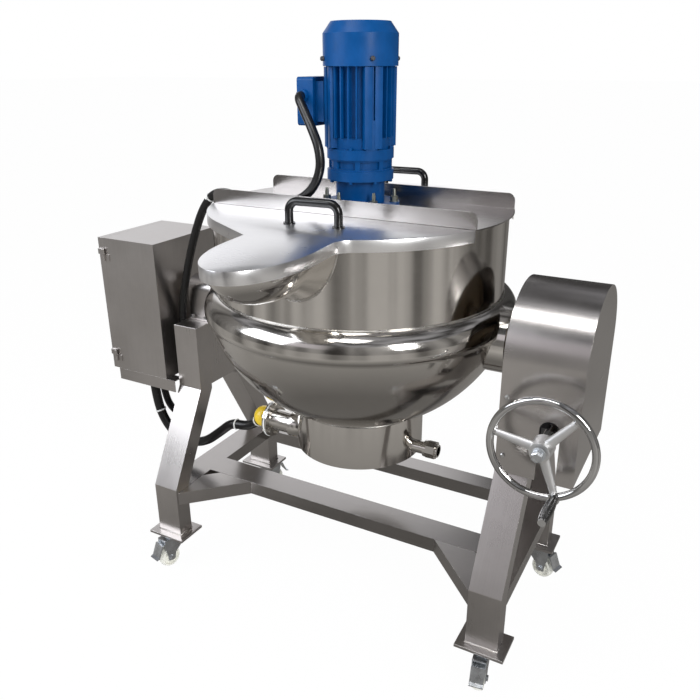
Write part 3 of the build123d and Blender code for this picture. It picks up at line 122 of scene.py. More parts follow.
class KettleColours(bpy.types.PropertyGroup):
    """Colours of the kettle's finishes."""

    frame_steel: bpy.props.FloatVectorProperty(
        name="Frame Steel", description="Satin steel of the stand, box and gear cover", subtype="COLOR",
        size=3, min=0, max=1, default=(0.58, 0.555, 0.54))
    kettle_steel: bpy.props.FloatVectorProperty(
        name="Kettle Steel", description="Polished steel of the pot and jacket", subtype="COLOR",
        size=3, min=0, max=1, default=(0.74, 0.715, 0.68))
    # Painted light: the lids' steel is set near white, far brighter than the frame's, to carry the bright light
    # on their tops.
    lid_steel: bpy.props.FloatVectorProperty(
        name="Lid Steel", description="Bright satin steel of the lids", subtype="COLOR",
        size=3, min=0, max=1, default=(0.96, 0.955, 0.985))
    drive_paint: bpy.props.FloatVectorProperty(
        name="Drive Paint", description="Enamel of the motor and gear reducer", subtype="COLOR",
        size=3, min=0, max=1, default=(0.0, 0.062, 0.225))
    cap_yellow: bpy.props.FloatVectorProperty(
        name="Cap Yellow", description="Plastic of the heater's cap", subtype="COLOR",
        size=3, min=0, max=1, default=(0.88, 0.60, 0.03))


class KettleSizes(bpy.types.PropertyGroup):
    """Sizes of the small parts that dress the kettle."""

    edge_round: bpy.props.FloatProperty(
        name="Edge Rounding", description="Radius of a bent sheet's edges", unit="LENGTH", default=0.0012,
        min=0.0002, max=0.004)
    conduit_width: bpy.props.FloatProperty(
        name="Conduit Width", description="Outer diameter of the two thin conduits", unit="LENGTH",
        default=0.022, min=0.01, max=0.04)
    heater_width: bpy.props.FloatProperty(
        name="Heater Conduit Width", description="Outer diameter of the heater's conduit", unit="LENGTH",
        default=0.028, min=0.01, max=0.05)
    bolt_width: bpy.props.FloatProperty(
        name="Bolt Width", description="Across a frame bolt's head", unit="LENGTH", default=0.013,
        min=0.006, max=0.03)
    weld_width: bpy.props.FloatProperty(
        name="Weld Width", description="Width of a weld bead", unit="LENGTH", default=0.005, min=0.002,
        max=0.012)


# ---------------------------------------------------------------- shader tools

class Value:
    """A shader socket that takes part in sums as a Python number does."""

    def __init__(self, finish, socket):
        self.finish = finish
        self.socket = socket

    def join(self, operation, other, swap=False):
        pair = (other, self) if swap else (self, other)
        return self.finish.node("ShaderNodeMath", {"operation": operation}, {0: pair[0], 1: pair[1]})[0]

    def __add__(self, other):
        return self.join("ADD", other)

    def __sub__(self, other):
        return self.join("SUBTRACT", other)

    def __rsub__(self, other):
        return self.join("SUBTRACT", other, swap=True)

    def __mul__(self, other):
        return self.join("MULTIPLY", other)

    def __truediv__(self, other):
        return self.join("DIVIDE", other)

    __radd__ = __add__
    __rmul__ = __mul__


class Finish:
    """A node material under construction."""

    def __init__(self, name):
        self.material = bpy.data.materials.new(name)
        self.material.use_nodes = True
        self.tree = self.material.node_tree
        self.shader = self.tree.nodes["Principled BSDF"]
        self.place = self.node("ShaderNodeTexCoord", {}, {}, "Object")

    def node(self, kind, settings, sockets, output=None):
        """Add a node, set it up, feed its sockets and give back its outputs, or the one named."""
        made = self.tree.nodes.new(kind)
        for name, value in settings.items():
            setattr(made, name, value)
        for key, value in sockets.items():
            if isinstance(value, Value):
                self.tree.links.new(value.socket, made.inputs[key])
            else:
                made.inputs[key].default_value = value
        if output is not None:
            return Value(self, made.outputs[output])
        return [Value(self, socket) for socket in made.outputs]

    def stretched(self, scale):
        """Object coordinates scaled along each axis."""
        return self.node("ShaderNodeMapping", {}, {"Vector": self.place, "Scale": scale}, "Vector")

    def noise(self, place, scale, detail=2.0, rough=0.5):
        return self.node("ShaderNodeTexNoise", {}, {"Vector": place, "Scale": scale, "Detail": detail,
                                                    "Roughness": rough}, "Fac")

    def band(self, value, low, high, to_low=0.0, to_high=1.0):
        """Value from low to high spread over to_low to to_high, and held beyond them."""
        return self.node("ShaderNodeMapRange", {}, {"Value": value, "From Min": low, "From Max": high,
                                                    "To Min": to_low, "To Max": to_high}, "Result")

    def blend(self, share, first, second):
        """Mix of two colours."""
        mixed = self.tree.nodes.new("ShaderNodeMix")
        mixed.data_type = "RGBA"
        for index, value in ((0, share), (6, first), (7, second)):
            if isinstance(value, Value):
                self.tree.links.new(value.socket, mixed.inputs[index])
            elif index:
                mixed.inputs[index].default_value = (*value, 1)
            else:
                mixed.inputs[index].default_value = value
        return Value(self, mixed.outputs[2])

    def bump(self, height, strength, distance):
        normal = self.node("ShaderNodeBump", {}, {"Height": height, "Strength": strength,
                                                  "Distance": distance}, "Normal")
        self.feed("Normal", normal)

    def feed(self, name, value):
        """Set or link a socket of the surface shader."""
        socket = self.shader.inputs[name]
        if isinstance(value, Value):
            self.tree.links.new(value.socket, socket)
        elif name in ("Base Color", "Emission Color"):
            socket.default_value = (*value, 1)
        else:
            socket.default_value = value


def shade(colour, factor):
    """A colour made lighter or darker by a factor."""
    return tuple(min(1.0, channel * factor) for channel in colour)


# ---------------------------------------------------------------- finishes

def satin_steel(name, colour, grain, rough=0.30, spread=0.10, mottle=0.12, relief=0.03):
    """Brushed sheet steel: fine scratches along one axis, cloudy handling marks and faint dents."""
    finish = Finish(name)
    across = {"X": (6, 420, 420), "Y": (420, 6, 420), "Z": (420, 420, 6), "YZ": (420, 8, 8)}[grain]
    scratches = finish.noise(finish.stretched(across), 1.0, 3.0, 0.6)
    clouds = finish.noise(finish.place, 5.0, 3.0, 0.55)
    marks = finish.noise(finish.place, 38.0, 4.0, 0.6)
    tone = clouds * mottle + scratches * 0.05 + marks * 0.03
    finish.feed("Base Color", finish.blend(finish.band(tone, 0.05, 0.14), shade(colour, 0.88),
                                           shade(colour, 1.12)))
    finish.feed("Metallic", 1.0)
    finish.feed("Roughness", finish.band(clouds * 0.8 + scratches * 0.2, 0.3, 0.7, rough - spread / 2,
                                         rough + spread / 2))
    if relief:
        finish.bump(scratches, relief, 0.0002)
    return finish.material


def mirror_steel(name, colour, rough=0.07, ripple=0.05):
    """Polished kettle steel: mirror bright, with buffing haze and the ripple of spun sheet."""
    finish = Finish(name)
    haze = finish.noise(finish.place, 7.0, 4.0, 0.6)
    rings = finish.noise(finish.stretched((2, 2, 90)), 1.0, 2.0, 0.5)
    sag = finish.noise(finish.place, 3.2, 1.0, 0.4)
    finish.feed("Base Color", finish.blend(haze, shade(colour, 0.90), shade(colour, 1.08)))
    finish.feed("Metallic", 1.0)
    finish.feed("Roughness", finish.band(haze * 0.7 + rings * 0.3, 0.35, 0.65, rough, rough + 0.08))
    finish.bump(sag + rings * 0.02, ripple, 0.01)
    return finish.material


def enamel(name, colour, rough=0.34):
    """Sprayed enamel on castings: slight orange peel, dust dulled in patches."""
    finish = Finish(name)
    peel = finish.noise(finish.place, 260.0, 2.0, 0.5)
    dust = finish.noise(finish.place, 16.0, 4.0, 0.6)
    finish.feed("Base Color", finish.blend(finish.band(dust, 0.35, 0.75), shade(colour, 0.88),
                                           shade(colour, 1.18)))
    finish.feed("Roughness", finish.band(dust, 0.3, 0.7, rough - 0.06, rough + 0.12))
    finish.feed("Specular IOR Level", 0.22)
    finish.bump(peel, 0.06, 0.0006)
    return finish.material


def moulded(name, colour, rough=0.35, coat=0.0, grain=400.0, wear=0.10):
    """Moulded plastic or rubber: fine surface grain and a little uneven sheen."""
    finish = Finish(name)
    grit = finish.noise(finish.place, grain, 2.0, 0.5)
    patch = finish.noise(finish.place, 22.0, 3.0, 0.55)
    finish.feed("Base Color", finish.blend(patch, shade(colour, 1 - wear), shade(colour, 1 + wear)))
    finish.feed("Roughness", finish.band(patch, 0.3, 0.7, rough - 0.05, rough + 0.08))
    finish.feed("Coat Weight", coat)
    finish.feed("Coat Roughness", 0.08)
    finish.bump(grit, 0.08, 0.0004)
    return finish.material


def cast_metal(name, colour, rough=0.42, metallic=1.0):
    """Cast or zinc plated metal: pebbled skin with brighter rubbed areas."""
    finish = Finish(name)
    pebble = finish.noise(finish.place, 170.0, 4.0, 0.6)
    patch = finish.noise(finish.place, 30.0, 3.0, 0.6)
    finish.feed("Base Color", finish.blend(finish.band(patch, 0.3, 0.7), shade(colour, 0.8),
                                           shade(colour, 1.2)))
    finish.feed("Metallic", metallic)
    finish.feed("Roughness", finish.band(patch, 0.3, 0.7, rough - 0.1, rough + 0.1))
    finish.bump(pebble, 0.10, 0.0008)
    return finish.material


def handwheel_metal(name):
    """Chromed rim on a cast aluminium hub and spokes, told apart by the distance from the hub."""
    finish = Finish(name)
    axes = finish.node("ShaderNodeSeparateXYZ", {}, {"Vector": finish.place})
    across, up = axes[0] - WORM_X, axes[2] - WORM_HEIGHT
    rim = finish.band((across * across + up * up) / HANDWHEEL_RIM ** 2, 0.96, 1.0)
    pebble = finish.noise(finish.place, 190.0, 4.0, 0.6)
    patch = finish.noise(finish.place, 30.0, 3.0, 0.6)
    finish.feed("Base Color", finish.blend(rim, (0.80, 0.80, 0.80), (0.62, 0.62, 0.62)))
    finish.feed("Metallic", 1.0)
    finish.feed("Roughness", 0.38 + patch * 0.2 - rim * (0.33 + patch * 0.2))
    finish.bump(pebble * (1 - rim), 0.12, 0.0008)
    return finish.material


FINISHES = {}


def make_finishes():
    """Build each finish once and keep it under its plain name."""
    colours = bpy.context.scene.kettle_colours
    steel, kettle = tuple(colours.frame_steel), tuple(colours.kettle_steel)
    FINISHES.update(
        frame_x=satin_steel("frame_steel_along", steel, "X"),
        frame_y=satin_steel("frame_steel_across", steel, "Y"),
        frame_z=satin_steel("frame_steel_upright", steel, "Z"),
        legs=satin_steel("leg_steel", steel, "YZ", relief=0),
        # Painted shade: the base rails under the kettle and the bridge get the frame steel darkened to 0.8.
        rails=satin_steel("rail_steel_painted_shade", shade(steel, 0.80), "X", rough=0.22, spread=0.08),
        sheet=satin_steel("sheet_steel", steel, "Z", rough=0.33),
        cover=satin_steel("cover_steel", shade(steel, 0.98), "Y", rough=0.24),
        kettle=mirror_steel("kettle_steel", kettle),
        # Painted shade: the jacket and its bowl get the kettle steel darkened to 0.9.
        jacket=mirror_steel("jacket_steel_painted_shade", shade(kettle, 0.90), rough=0.09, ripple=0.08),
        # Painted light: the lids get the near-white steel set above.
        lid=satin_steel("lid_steel", tuple(colours.lid_steel), "X", rough=0.30, mottle=0.16),
        enamel=enamel("drive_enamel", tuple(colours.drive_paint)),
        grip=cast_metal("grip_metal", (0.20, 0.20, 0.20), 0.24),
        nut=cast_metal("nut_steel", (0.30, 0.31, 0.27), 0.32),
        zinc=cast_metal("zinc_plate", (0.74, 0.77, 0.80), 0.30),
        nylon=moulded("white_nylon", (0.88, 0.87, 0.79), 0.42, grain=90.0, wear=0.03),
        bronze=cast_metal("bronze", (0.24, 0.19, 0.13), 0.5),
        iron=cast_metal("painted_iron", (0.05, 0.05, 0.055), 0.5, 0.4),
        turned=cast_metal("turned_steel", (0.62, 0.62, 0.62), 0.25),
        weld=cast_metal("weld_steel", (0.62, 0.60, 0.57), 0.30),
        chrome=handwheel_metal("chrome"),
        black=moulded("black_gloss", (0.003, 0.003, 0.0035), 0.22, 0.2),
        yellow=moulded("yellow_plastic", tuple(colours.cap_yellow), 0.3, 0.3, wear=0.03),
        white=moulded("white_plastic", (0.8, 0.8, 0.78), 0.4),
        rubber=moulded("black_sleeve", (0.0035, 0.0035, 0.004), 0.34, 0.15, 120.0),
        green=moulded("green_plastic", (0.02, 0.32, 0.07), 0.3, 0.3),
        red=moulded("red_plastic", (0.55, 0.02, 0.015), 0.3, 0.3))


FOLDED = ("frame_x", "frame_y", "frame_z", "legs", "rails", "sheet", "cover")
NODE_FINISH = {
    "left_legs": "legs", "right_legs": "legs", "left_head": "frame_z", "right_head": "frame_z",
    "base_rails": "rails", "corner_braces": "frame_x", "foot_plates": "frame_y",
    "left_bearing_housing": "frame_y", "right_bearing_housing": "frame_y", "gear_cover": "cover",
    "cover_tabs": "frame_y", "control_box": "sheet", "control_door": "sheet", "box_shelf": "frame_x",
    "inner_pot": "kettle", "outer_jacket": "jacket", "pouring_spout": "kettle", "left_trunnion": "kettle",
    "right_trunnion": "kettle", "heater_housing": "kettle", "heater_nozzle": "kettle",
    "drain_union": "kettle", "agitator_frame": "kettle", "front_lid": "lid", "rear_lid": "lid",
    "bridge": "rails", "gear_reducer": "enamel", "drive_motor": "enamel", "fan_cowl": "enamel",
    "terminal_box": "enamel", "caster_plates": "zinc", "bearing_bushes": "bronze", "worm_wheel": "bronze",
    "worm_bracket": "iron", "worm_shaft": "turned", "door_lock": "turned", "handwheel": "chrome",
    "crank_grip": "grip", "front_handle": "black", "rear_handle": "black", "stop_button": "black",
    "nozzle_cap": "yellow", "scrapers": "white", "start_button": "green", "emergency_button": "red"}
for corner in CORNERS:
    NODE_FINISH[f"{corner}_fork"] = "zinc"
    NODE_FINISH[f"{corner}_pedal"] = "zinc"
    NODE_FINISH[f"{corner}_wheel"] = "nylon"


# ---------------------------------------------------------------- modelling tools

def alone(piece):
    """Select and activate one object only."""
    bpy.ops.object.select_all(action="DESELECT")
    piece.select_set(True)
    bpy.context.view_layer.objects.active = piece


def added(operator, **settings):
    """Add a primitive with nothing else selected, and give it back."""
    bpy.ops.object.select_all(action="DESELECT")
    operator(**settings)
    return bpy.context.object


def linked(name, data):
    """A new object of a mesh, curve or lamp, put in the scene."""
    piece = bpy.data.objects.new(name, data)
    bpy.context.collection.objects.link(piece)
    return piece


def hang(piece, body):
    """Let a piece ride one body, or, when a tuple names two, only settle its place into its mesh."""
    if isinstance(body, tuple):
        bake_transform(piece)
    else:
        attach(piece, body)


def finish_piece(piece, name, finish, body, smooth=30.0):
    """Name a modelled piece, settle its place into its mesh, finish it and hang it on its body."""
    alone(piece)
    bpy.ops.object.transform_apply(location=True, rotation=True, scale=True)
    if smooth:
        bpy.ops.object.shade_smooth_by_angle(angle=radians(smooth))
    piece.name = name
    piece.data.name = name
    piece.data.materials.clear()
    piece.data.materials.append(FINISHES[finish])
    hang(piece, body)
    return piece


def joined(pieces):
    """Join several objects into one."""
    bpy.ops.object.select_all(action="DESELECT")
    for piece in pieces:
        piece.select_set(True)
    bpy.context.view_layer.objects.active = pieces[0]
    if len(pieces) > 1:
        bpy.ops.object.join()
    return pieces[0]


def apply_modifier(piece, kind, **settings):
    """Add a modifier, set it up and apply it."""
    alone(piece)
    modifier = piece.modifiers.new(kind.lower(), kind)
    for name, value in settings.items():
        setattr(modifier, name, value)
    bpy.ops.object.modifier_apply(modifier=modifier.name)


def facing(direction):
    """Rotation that turns +Z to a direction."""
    return Vector(direction).to_track_quat("Z", "Y").to_euler()


def crown(head, inset, rise):
    """Inset the top face of a screw's head and raise it."""
    bpy.ops.object.mode_set(mode="EDIT")
    mesh = bmesh.from_edit_mesh(head.data)
    for face in mesh.faces:
        face.select = face.normal.z > 0.9
    bmesh.update_edit_mesh(head.data)
    bpy.ops.mesh.inset(thickness=inset)
    bpy.ops.transform.translate(value=rise)
    bpy.ops.object.mode_set(mode="OBJECT")


def hex_bolt(place, direction, width, height, washer=True):
    """A bolt head with a chamfered crown, standing on its washer."""
    pieces = []
    seat, axis = Vector(place), Vector(direction).normalized()
    lift = 0.0
    if washer:
        lift = width * 0.12
        pieces.append(added(bpy.ops.mesh.primitive_cylinder_add, vertices=24, radius=width * 0.72,
                            depth=lift, location=seat + axis * lift / 2, rotation=facing(axis)))
    head = added(bpy.ops.mesh.primitive_cylinder_add, vertices=6, radius=width * 0.577, depth=height,
                 location=seat + axis * (lift + height / 2), rotation=facing(axis))
    crown(head, width * 0.09, axis * width * 0.07)
    return joined([*pieces, head])


def round_screw(place, direction, radius, height):
    """A domed screw head."""
    axis = Vector(direction).normalized()
    head = added(bpy.ops.mesh.primitive_cylinder_add, vertices=20, radius=radius, depth=height,
                 location=Vector(place) + axis * height / 2, rotation=facing(axis))
    crown(head, radius * 0.3, axis * height * 0.35)
    return head


# ---------------------------------------------------------------- conduits

def curve_along(name, points, kind):
    """A curve object with one spline, and that spline."""
    curve = bpy.data.curves.new(name, "CURVE")
    curve.dimensions = "3D"
    spline = curve.splines.new(kind)
    spline.points.add(len(points) - 1)
    for point, place in zip(spline.points, points):
        point.co = (*place, 1)
    return linked(name, curve), spline


def route_line(piece):
    """Points along a route's spline, and their length in all."""
    bare = bpy.data.meshes.new_from_object(piece)
    line = [vertex.co.copy() for vertex in bare.vertices]
    bpy.data.meshes.remove(bare)
    return line, sum((b - a).length for a, b in zip(line, line[1:]))


def conduit(name, points, width, body):
    """A round flexible conduit along its route, on one body, or left unparented where a tuple names two; gives
    its line.
    """
    piece, spline = curve_along(name, points, "NURBS")
    piece.data.resolution_u = 24
    spline.order_u = 3
    spline.use_endpoint_u = True
    line, length = route_line(piece)
    piece.data.bevel_depth = width / 2
    piece.data.bevel_resolution = 6
    piece.data.use_fill_caps = True
    alone(piece)
    bpy.ops.object.convert(target="MESH")
    bpy.ops.object.shade_smooth_by_angle(angle=radians(50))
    piece.data.materials.clear()
    piece.data.materials.append(FINISHES["rubber"])
    hang(piece, body)
    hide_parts(name)
    piece.name = f"{name}_sleeve"
    return line


def tie(name, line, share, width, body):
    """A plastic cable tie round a conduit at a share of its length."""
    index = min(int(share * (len(line) - 1)), len(line) - 2)
    place, along = line[index], (line[index + 1] - line[index]).normalized()
    band = added(bpy.ops.mesh.primitive_torus_add, major_radius=width / 2 + 0.0006, minor_radius=0.0022,
                 major_segments=40, minor_segments=8, location=place, rotation=facing(along))
    side = along.cross(Vector((0, 0, 1))).normalized()
    lock = added(bpy.ops.mesh.primitive_cube_add, size=0.006, location=place - side * (width / 2 + 0.003),
                 rotation=facing(along))
    apply_modifier(lock, "BEVEL", width=0.0008, segments=2)
    piece = finish_piece(joined([band, lock]), name, "white", body)


class KETTLE_OT_conduits(bpy.types.Operator):
    """Lay the three conduits and their ties"""
    bl_idname = "kettle.conduits"
    bl_label = "Conduits"

    def execute(self, context):
        sizes = context.scene.kettle_sizes
        conduit("motor_conduit", MOTOR_ROUTE, sizes.conduit_width, "kettle")
        line = conduit("bridge_conduit", BRIDGE_ROUTE, sizes.conduit_width, BRIDGE_BEND)
        tie("bridge_tie", line, 0.20, sizes.conduit_width, "kettle")
        line = conduit("heater_conduit", HEATER_ROUTE, sizes.heater_width, HEATER_BEND)
        tie("box_tie", line, 0.13, sizes.heater_width, "stand")
        tie("swing_tie", line, 0.74, sizes.heater_width, HEATER_BEND)
        tie("cap_tie", line, 0.985, sizes.heater_width, "kettle")
        return {"FINISHED"}


# ---------------------------------------------------------------- carried-over nodes

def dress(node, finish, bevel=0.0):
    """Give a node its finish, and round its edges without touching its own mesh."""
    piece = NODES[node]
    piece.data.materials.clear()
    piece.data.materials.append(FINISHES[finish])
    alone(piece)
    bpy.ops.object.shade_smooth()
    weld = piece.modifiers.new("merge", "WELD")
    weld.merge_threshold = 0.00002
    if bevel:
        edge = piece.modifiers.new("edges", "BEVEL")
        edge.width = bevel
        edge.segments = 3
        edge.limit_method = "ANGLE"
        edge.angle_limit = radians(24)
    split = piece.modifiers.new("creases", "EDGE_SPLIT")
    split.split_angle = radians(35 if bevel else 32)
    if bevel:
        piece.modifiers.new("flats", "WEIGHTED_NORMAL")


class KETTLE_OT_nodes(bpy.types.Operator):
    """Finish the pieces that keep their built shape"""
    bl_idname = "kettle.nodes"
    bl_label = "Built Pieces"

    def execute(self, context):
        rounding = context.scene.kettle_sizes.edge_round
        for node, finish in NODE_FINISH.items():
            dress(node, finish, rounding if finish in FOLDED else 0.0)
        return {"FINISHED"}


# ---------------------------------------------------------------- spun and folded steel

def arc_through(start, middle, end, steps):
    """Points along the circle arc through three points of a plane."""
    (ax, ay), (bx, by), (cx, cy) = start, middle, end
    twice = 2 * (ax * (by - cy) + bx * (cy - ay) + cx * (ay - by))
    squares = [x * x + y * y for x, y in (start, middle, end)]
    ux = (squares[0] * (by - cy) + squares[1] * (cy - ay) + squares[2] * (ay - by)) / twice
    uy = (squares[0] * (cx - bx) + squares[1] * (ax - cx) + squares[2] * (bx - ax)) / twice
    radius = hypot(ax - ux, ay - uy)
    first, last = atan2(ay - uy, ax - ux), atan2(cy - uy, cx - ux)
    if (bx - ax) * (cy - ay) > (by - ay) * (cx - ax):
        last += 2 * pi * (last < first)
    else:
        last -= 2 * pi * (last > first)
    return [(ux + radius * cos(first + (last - first) * k / steps),
             uy + radius * sin(first + (last - first) * k / steps)) for k in range(steps + 1)]


def spun(profile, steps=160, axis=(0, 0, 1), centre=(0, 0, 0)):
    """Spin an outline of (radius, distance along the axis) into a sheet of revolution."""
    mesh = bpy.data.meshes.new("profile")
    turn = Vector((0, 0, 1)).rotation_difference(Vector(axis))
    middle = Vector(centre)
    mesh.from_pydata([middle + turn @ Vector((radius, 0, along)) for radius, along in profile],
                     [(k, k + 1) for k in range(len(profile) - 1)], [])
    piece = linked("spun", mesh)
    alone(piece)
    bpy.ops.object.mode_set(mode="EDIT")
    bpy.ops.mesh.select_all(action="SELECT")
    bpy.ops.mesh.spin(steps=steps, angle=2 * pi, center=centre, axis=axis)
    bpy.ops.mesh.select_all(action="SELECT")
    bpy.ops.mesh.remove_doubles(threshold=0.00002)
    bpy.ops.mesh.normals_make_consistent(inside=False)
    bpy.ops.object.mode_set(mode="OBJECT")
    return piece


def bead(name, points, width, body, closed=True):
    """A weld bead along a closed or open line."""
    piece, spline = curve_along(name, points, "POLY")
    spline.use_cyclic_u = closed
    piece.data.bevel_depth = width / 2
    piece.data.bevel_resolution = 2
    alone(piece)
    bpy.ops.object.convert(target="MESH")
    piece = finish_piece(bpy.context.object, name, "weld", body, 60)


def ring(radius, height, count=180):
    return [(radius * cos(2 * pi * k / count), radius * sin(2 * pi * k / count), height)
            for k in range(count)]


def plate(outline, low, high):
    """A flat plate with an outline in plan, between two heights."""
    mesh = bpy.data.meshes.new("plate")
    mesh.from_pydata([(x, y, low) for x, y in outline], [], [range(len(outline))])
    piece = linked("plate", mesh)
    alone(piece)
    bpy.ops.object.mode_set(mode="EDIT")
    bpy.ops.mesh.select_all(action="SELECT")
    bpy.ops.mesh.extrude_region_move(TRANSFORM_OT_translate={"value": (0, 0, high - low)})
    bpy.ops.mesh.select_all(action="SELECT")
    bpy.ops.mesh.normals_make_consistent(inside=False)
    bpy.ops.object.mode_set(mode="OBJECT")
    return piece


def cut(piece, tool):
    """Take one mesh away from another."""
    apply_modifier(piece, "BOOLEAN", operation="DIFFERENCE", object=tool, solver="EXACT")
    bpy.data.objects.remove(tool)


def front_lid_outline(inset, edge):
    """Plan of the front lid: the pot's circle, run out into the lobe over the spout."""
    radius, half, nose, fillet = LID_RADIUS - inset, LOBE_HALF - inset, LOBE_NOSE - inset, LOBE_FILLET + inset
    along_fillet = ((radius + fillet) ** 2 - (half + fillet) ** 2) ** 0.5
    meet = atan2(half + fillet, along_fillet)
    lean = (-sin(LOBE_FLARE), cos(LOBE_FLARE))
    across, along = [], []

    def add(side, forward):
        across.append(side)
        along.append(forward)

    limit = atan2((radius ** 2 - edge ** 2) ** 0.5, edge)
    for k in range(41):
        turn = limit - SPOUT_TURN + (meet - limit + SPOUT_TURN) * k / 40
        add(radius * sin(turn), radius * cos(turn))
    for k in range(1, 13):
        turn = meet + pi - (meet + pi - 1.5 * pi) * k / 12
        add(half + fillet + fillet * sin(turn), along_fillet + fillet * cos(turn))
    for k in range(65):
        turn = pi / 2 - pi * k / 64
        add(half * sin(turn), SPOUT_STRAIGHT + nose * cos(turn))
    add(-half, (radius + lean[0] * half) / lean[1])
    for k in range(41):
        turn = -LOBE_FLARE + (LOBE_FLARE - limit - SPOUT_TURN) * k / 40
        add(radius * sin(turn), radius * cos(turn))
    side, ahead = (cos(SPOUT_TURN), sin(SPOUT_TURN)), (sin(SPOUT_TURN), -cos(SPOUT_TURN))
    return [(a * side[0] + f * ahead[0], a * side[1] + f * ahead[1]) for a, f in zip(across, along)]


class KETTLE_OT_front_lid(bpy.types.Operator):
    """Fold the front half of the lid with its lobe over the spout"""
    bl_idname = "kettle.front_lid"
    bl_label = "Front Lid"

    def execute(self, context):
        lid = plate(front_lid_outline(0, LID_EDGE), LID_TOP - LID_SKIRT, LID_TOP)
        cut(lid, plate(front_lid_outline(LID_SHEET, LID_EDGE - 0.01), LID_TOP - LID_SKIRT - 0.01,
                       LID_TOP - LID_SHEET))
        apply_modifier(lid, "BEVEL", width=0.0007, segments=2, angle_limit=radians(50))
        finish_piece(lid, "front_lid_sheet", "lid", "front_cover", 35)
        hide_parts("front_lid")
        return {"FINISHED"}


class KETTLE_OT_spout(bpy.types.Operator):
    """Form the pouring spout and its weld to the pot"""
    bl_idname = "kettle.spout"
    bl_label = "Pouring Spout"

    def execute(self, context):
        spout = added(bpy.ops.mesh.primitive_uv_sphere_add, segments=72, ring_count=36, radius=1,
                      rotation=(pi / 2, 0, 0))
        bpy.ops.object.transform_apply(rotation=True)
        bpy.ops.object.mode_set(mode="EDIT")
        for normal in ((0, 1, 0), (0, 0, 1)):
            bpy.ops.mesh.select_all(action="SELECT")
            bpy.ops.mesh.bisect(plane_co=(0, 0, 0), plane_no=normal, clear_outer=True)
        bpy.ops.mesh.select_all(action="SELECT")
        bpy.ops.transform.resize(value=(SPOUT_HALF, SPOUT_NOSE, SPOUT_DEPTH), center_override=(0, 0, 0))
        bpy.ops.mesh.select_all(action="DESELECT")
        mesh = bmesh.from_edit_mesh(spout.data)
        for edge in mesh.edges:
            edge.select = edge.is_boundary and all(abs(vertex.co.y) < 1e-5 for vertex in edge.verts)
        bmesh.update_edit_mesh(spout.data)
        bpy.ops.mesh.extrude_edges_move(TRANSFORM_OT_translate={"value": (0, 0.06, 0)})
        mesh = bmesh.from_edit_mesh(spout.data)
        seam = [vertex for vertex in mesh.verts if vertex.select]
        for vertex in seam:
            vertex.co.z *= SPOUT_DEPTH_AT_POT / SPOUT_DEPTH
            vertex.co.y = SPOUT_STRAIGHT - ((POT_RADIUS - 0.0008) ** 2 - vertex.co.x ** 2) ** 0.5
        line = [vertex.co.copy() for vertex in sorted(seam, key=lambda vertex: atan2(vertex.co.x,
                                                                                     -vertex.co.z))]
        for vertex in mesh.verts:
            vertex.co += Vector((0, -SPOUT_STRAIGHT, RIM_HEIGHT))
        bmesh.update_edit_mesh(spout.data)
        bpy.ops.mesh.select_all(action="SELECT")
        bpy.ops.mesh.normals_make_consistent(inside=False)
        bpy.ops.object.mode_set(mode="OBJECT")
        apply_modifier(spout, "SOLIDIFY", thickness=0.0025, offset=-1)
        spout.rotation_euler = (0, 0, SPOUT_TURN)
        finish_piece(spout, "spout_scoop", "kettle", "kettle", 40)
        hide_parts("pouring_spout")
        turned = Matrix.Rotation(SPOUT_TURN, 3, "Z")
        bead("spout_weld", [turned @ (point + Vector((0, -SPOUT_STRAIGHT - 0.0012, RIM_HEIGHT)))
                            for point in line], context.scene.kettle_sizes.weld_width, "kettle", False)
        return {"FINISHED"}


class KETTLE_OT_jacket(bpy.types.Operator):
    """Spin the jacket and run its weld beads"""
    bl_idname = "kettle.jacket"
    bl_label = "Jacket"

    def execute(self, context):
        centre = BOWL_BOTTOM + BOWL_RADIUS
        join_height = BULGE_HEIGHT - 0.022
        join = (BOWL_RADIUS ** 2 - (centre - join_height) ** 2) ** 0.5
        sweep = atan2(join, centre - join_height)
        bowl = [(BOWL_RADIUS * sin(sweep * k / 72), centre - BOWL_RADIUS * cos(sweep * k / 72))
                for k in range(20, 73)]
        ridge = arc_through((join, join_height), (BULGE_RADIUS - 0.0008, BULGE_HEIGHT - 0.010),
                            (BULGE_RADIUS, BULGE_HEIGHT), 10)
        middle = ((BULGE_RADIUS + POT_RADIUS) / 2 + SHOULDER_BOW,
                  (BULGE_HEIGHT + SHOULDER_HEIGHT) / 2 + SHOULDER_BOW)
        shoulder = arc_through((BULGE_RADIUS, BULGE_HEIGHT), middle, (POT_RADIUS, SHOULDER_HEIGHT), 18)
        floor = [(0.0, BOWL_BOTTOM)] + [(BOWL_RADIUS * sin(sweep * k / 72),
                                         centre - BOWL_RADIUS * cos(sweep * k / 72)) for k in range(2, 20, 3)]
        jacket = spun(floor + bowl + ridge[1:] + shoulder[1:], 192)
        apply_modifier(jacket, "SOLIDIFY", thickness=JACKET_WALL, offset=-1)
        finish_piece(jacket, "jacket_shell", "jacket", "kettle", 60)
        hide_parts("outer_jacket")
        width = context.scene.kettle_sizes.weld_width
        bead("shoulder_weld", ring(POT_RADIUS + 0.0010, SHOULDER_HEIGHT + 0.0005), width * 0.8, "kettle")
        bead("housing_weld", ring(HEATER_RADIUS + 0.0012,
                                  centre - (BOWL_RADIUS ** 2 - HEATER_RADIUS ** 2) ** 0.5 - 0.001), width,
             "kettle")
        return {"FINISHED"}


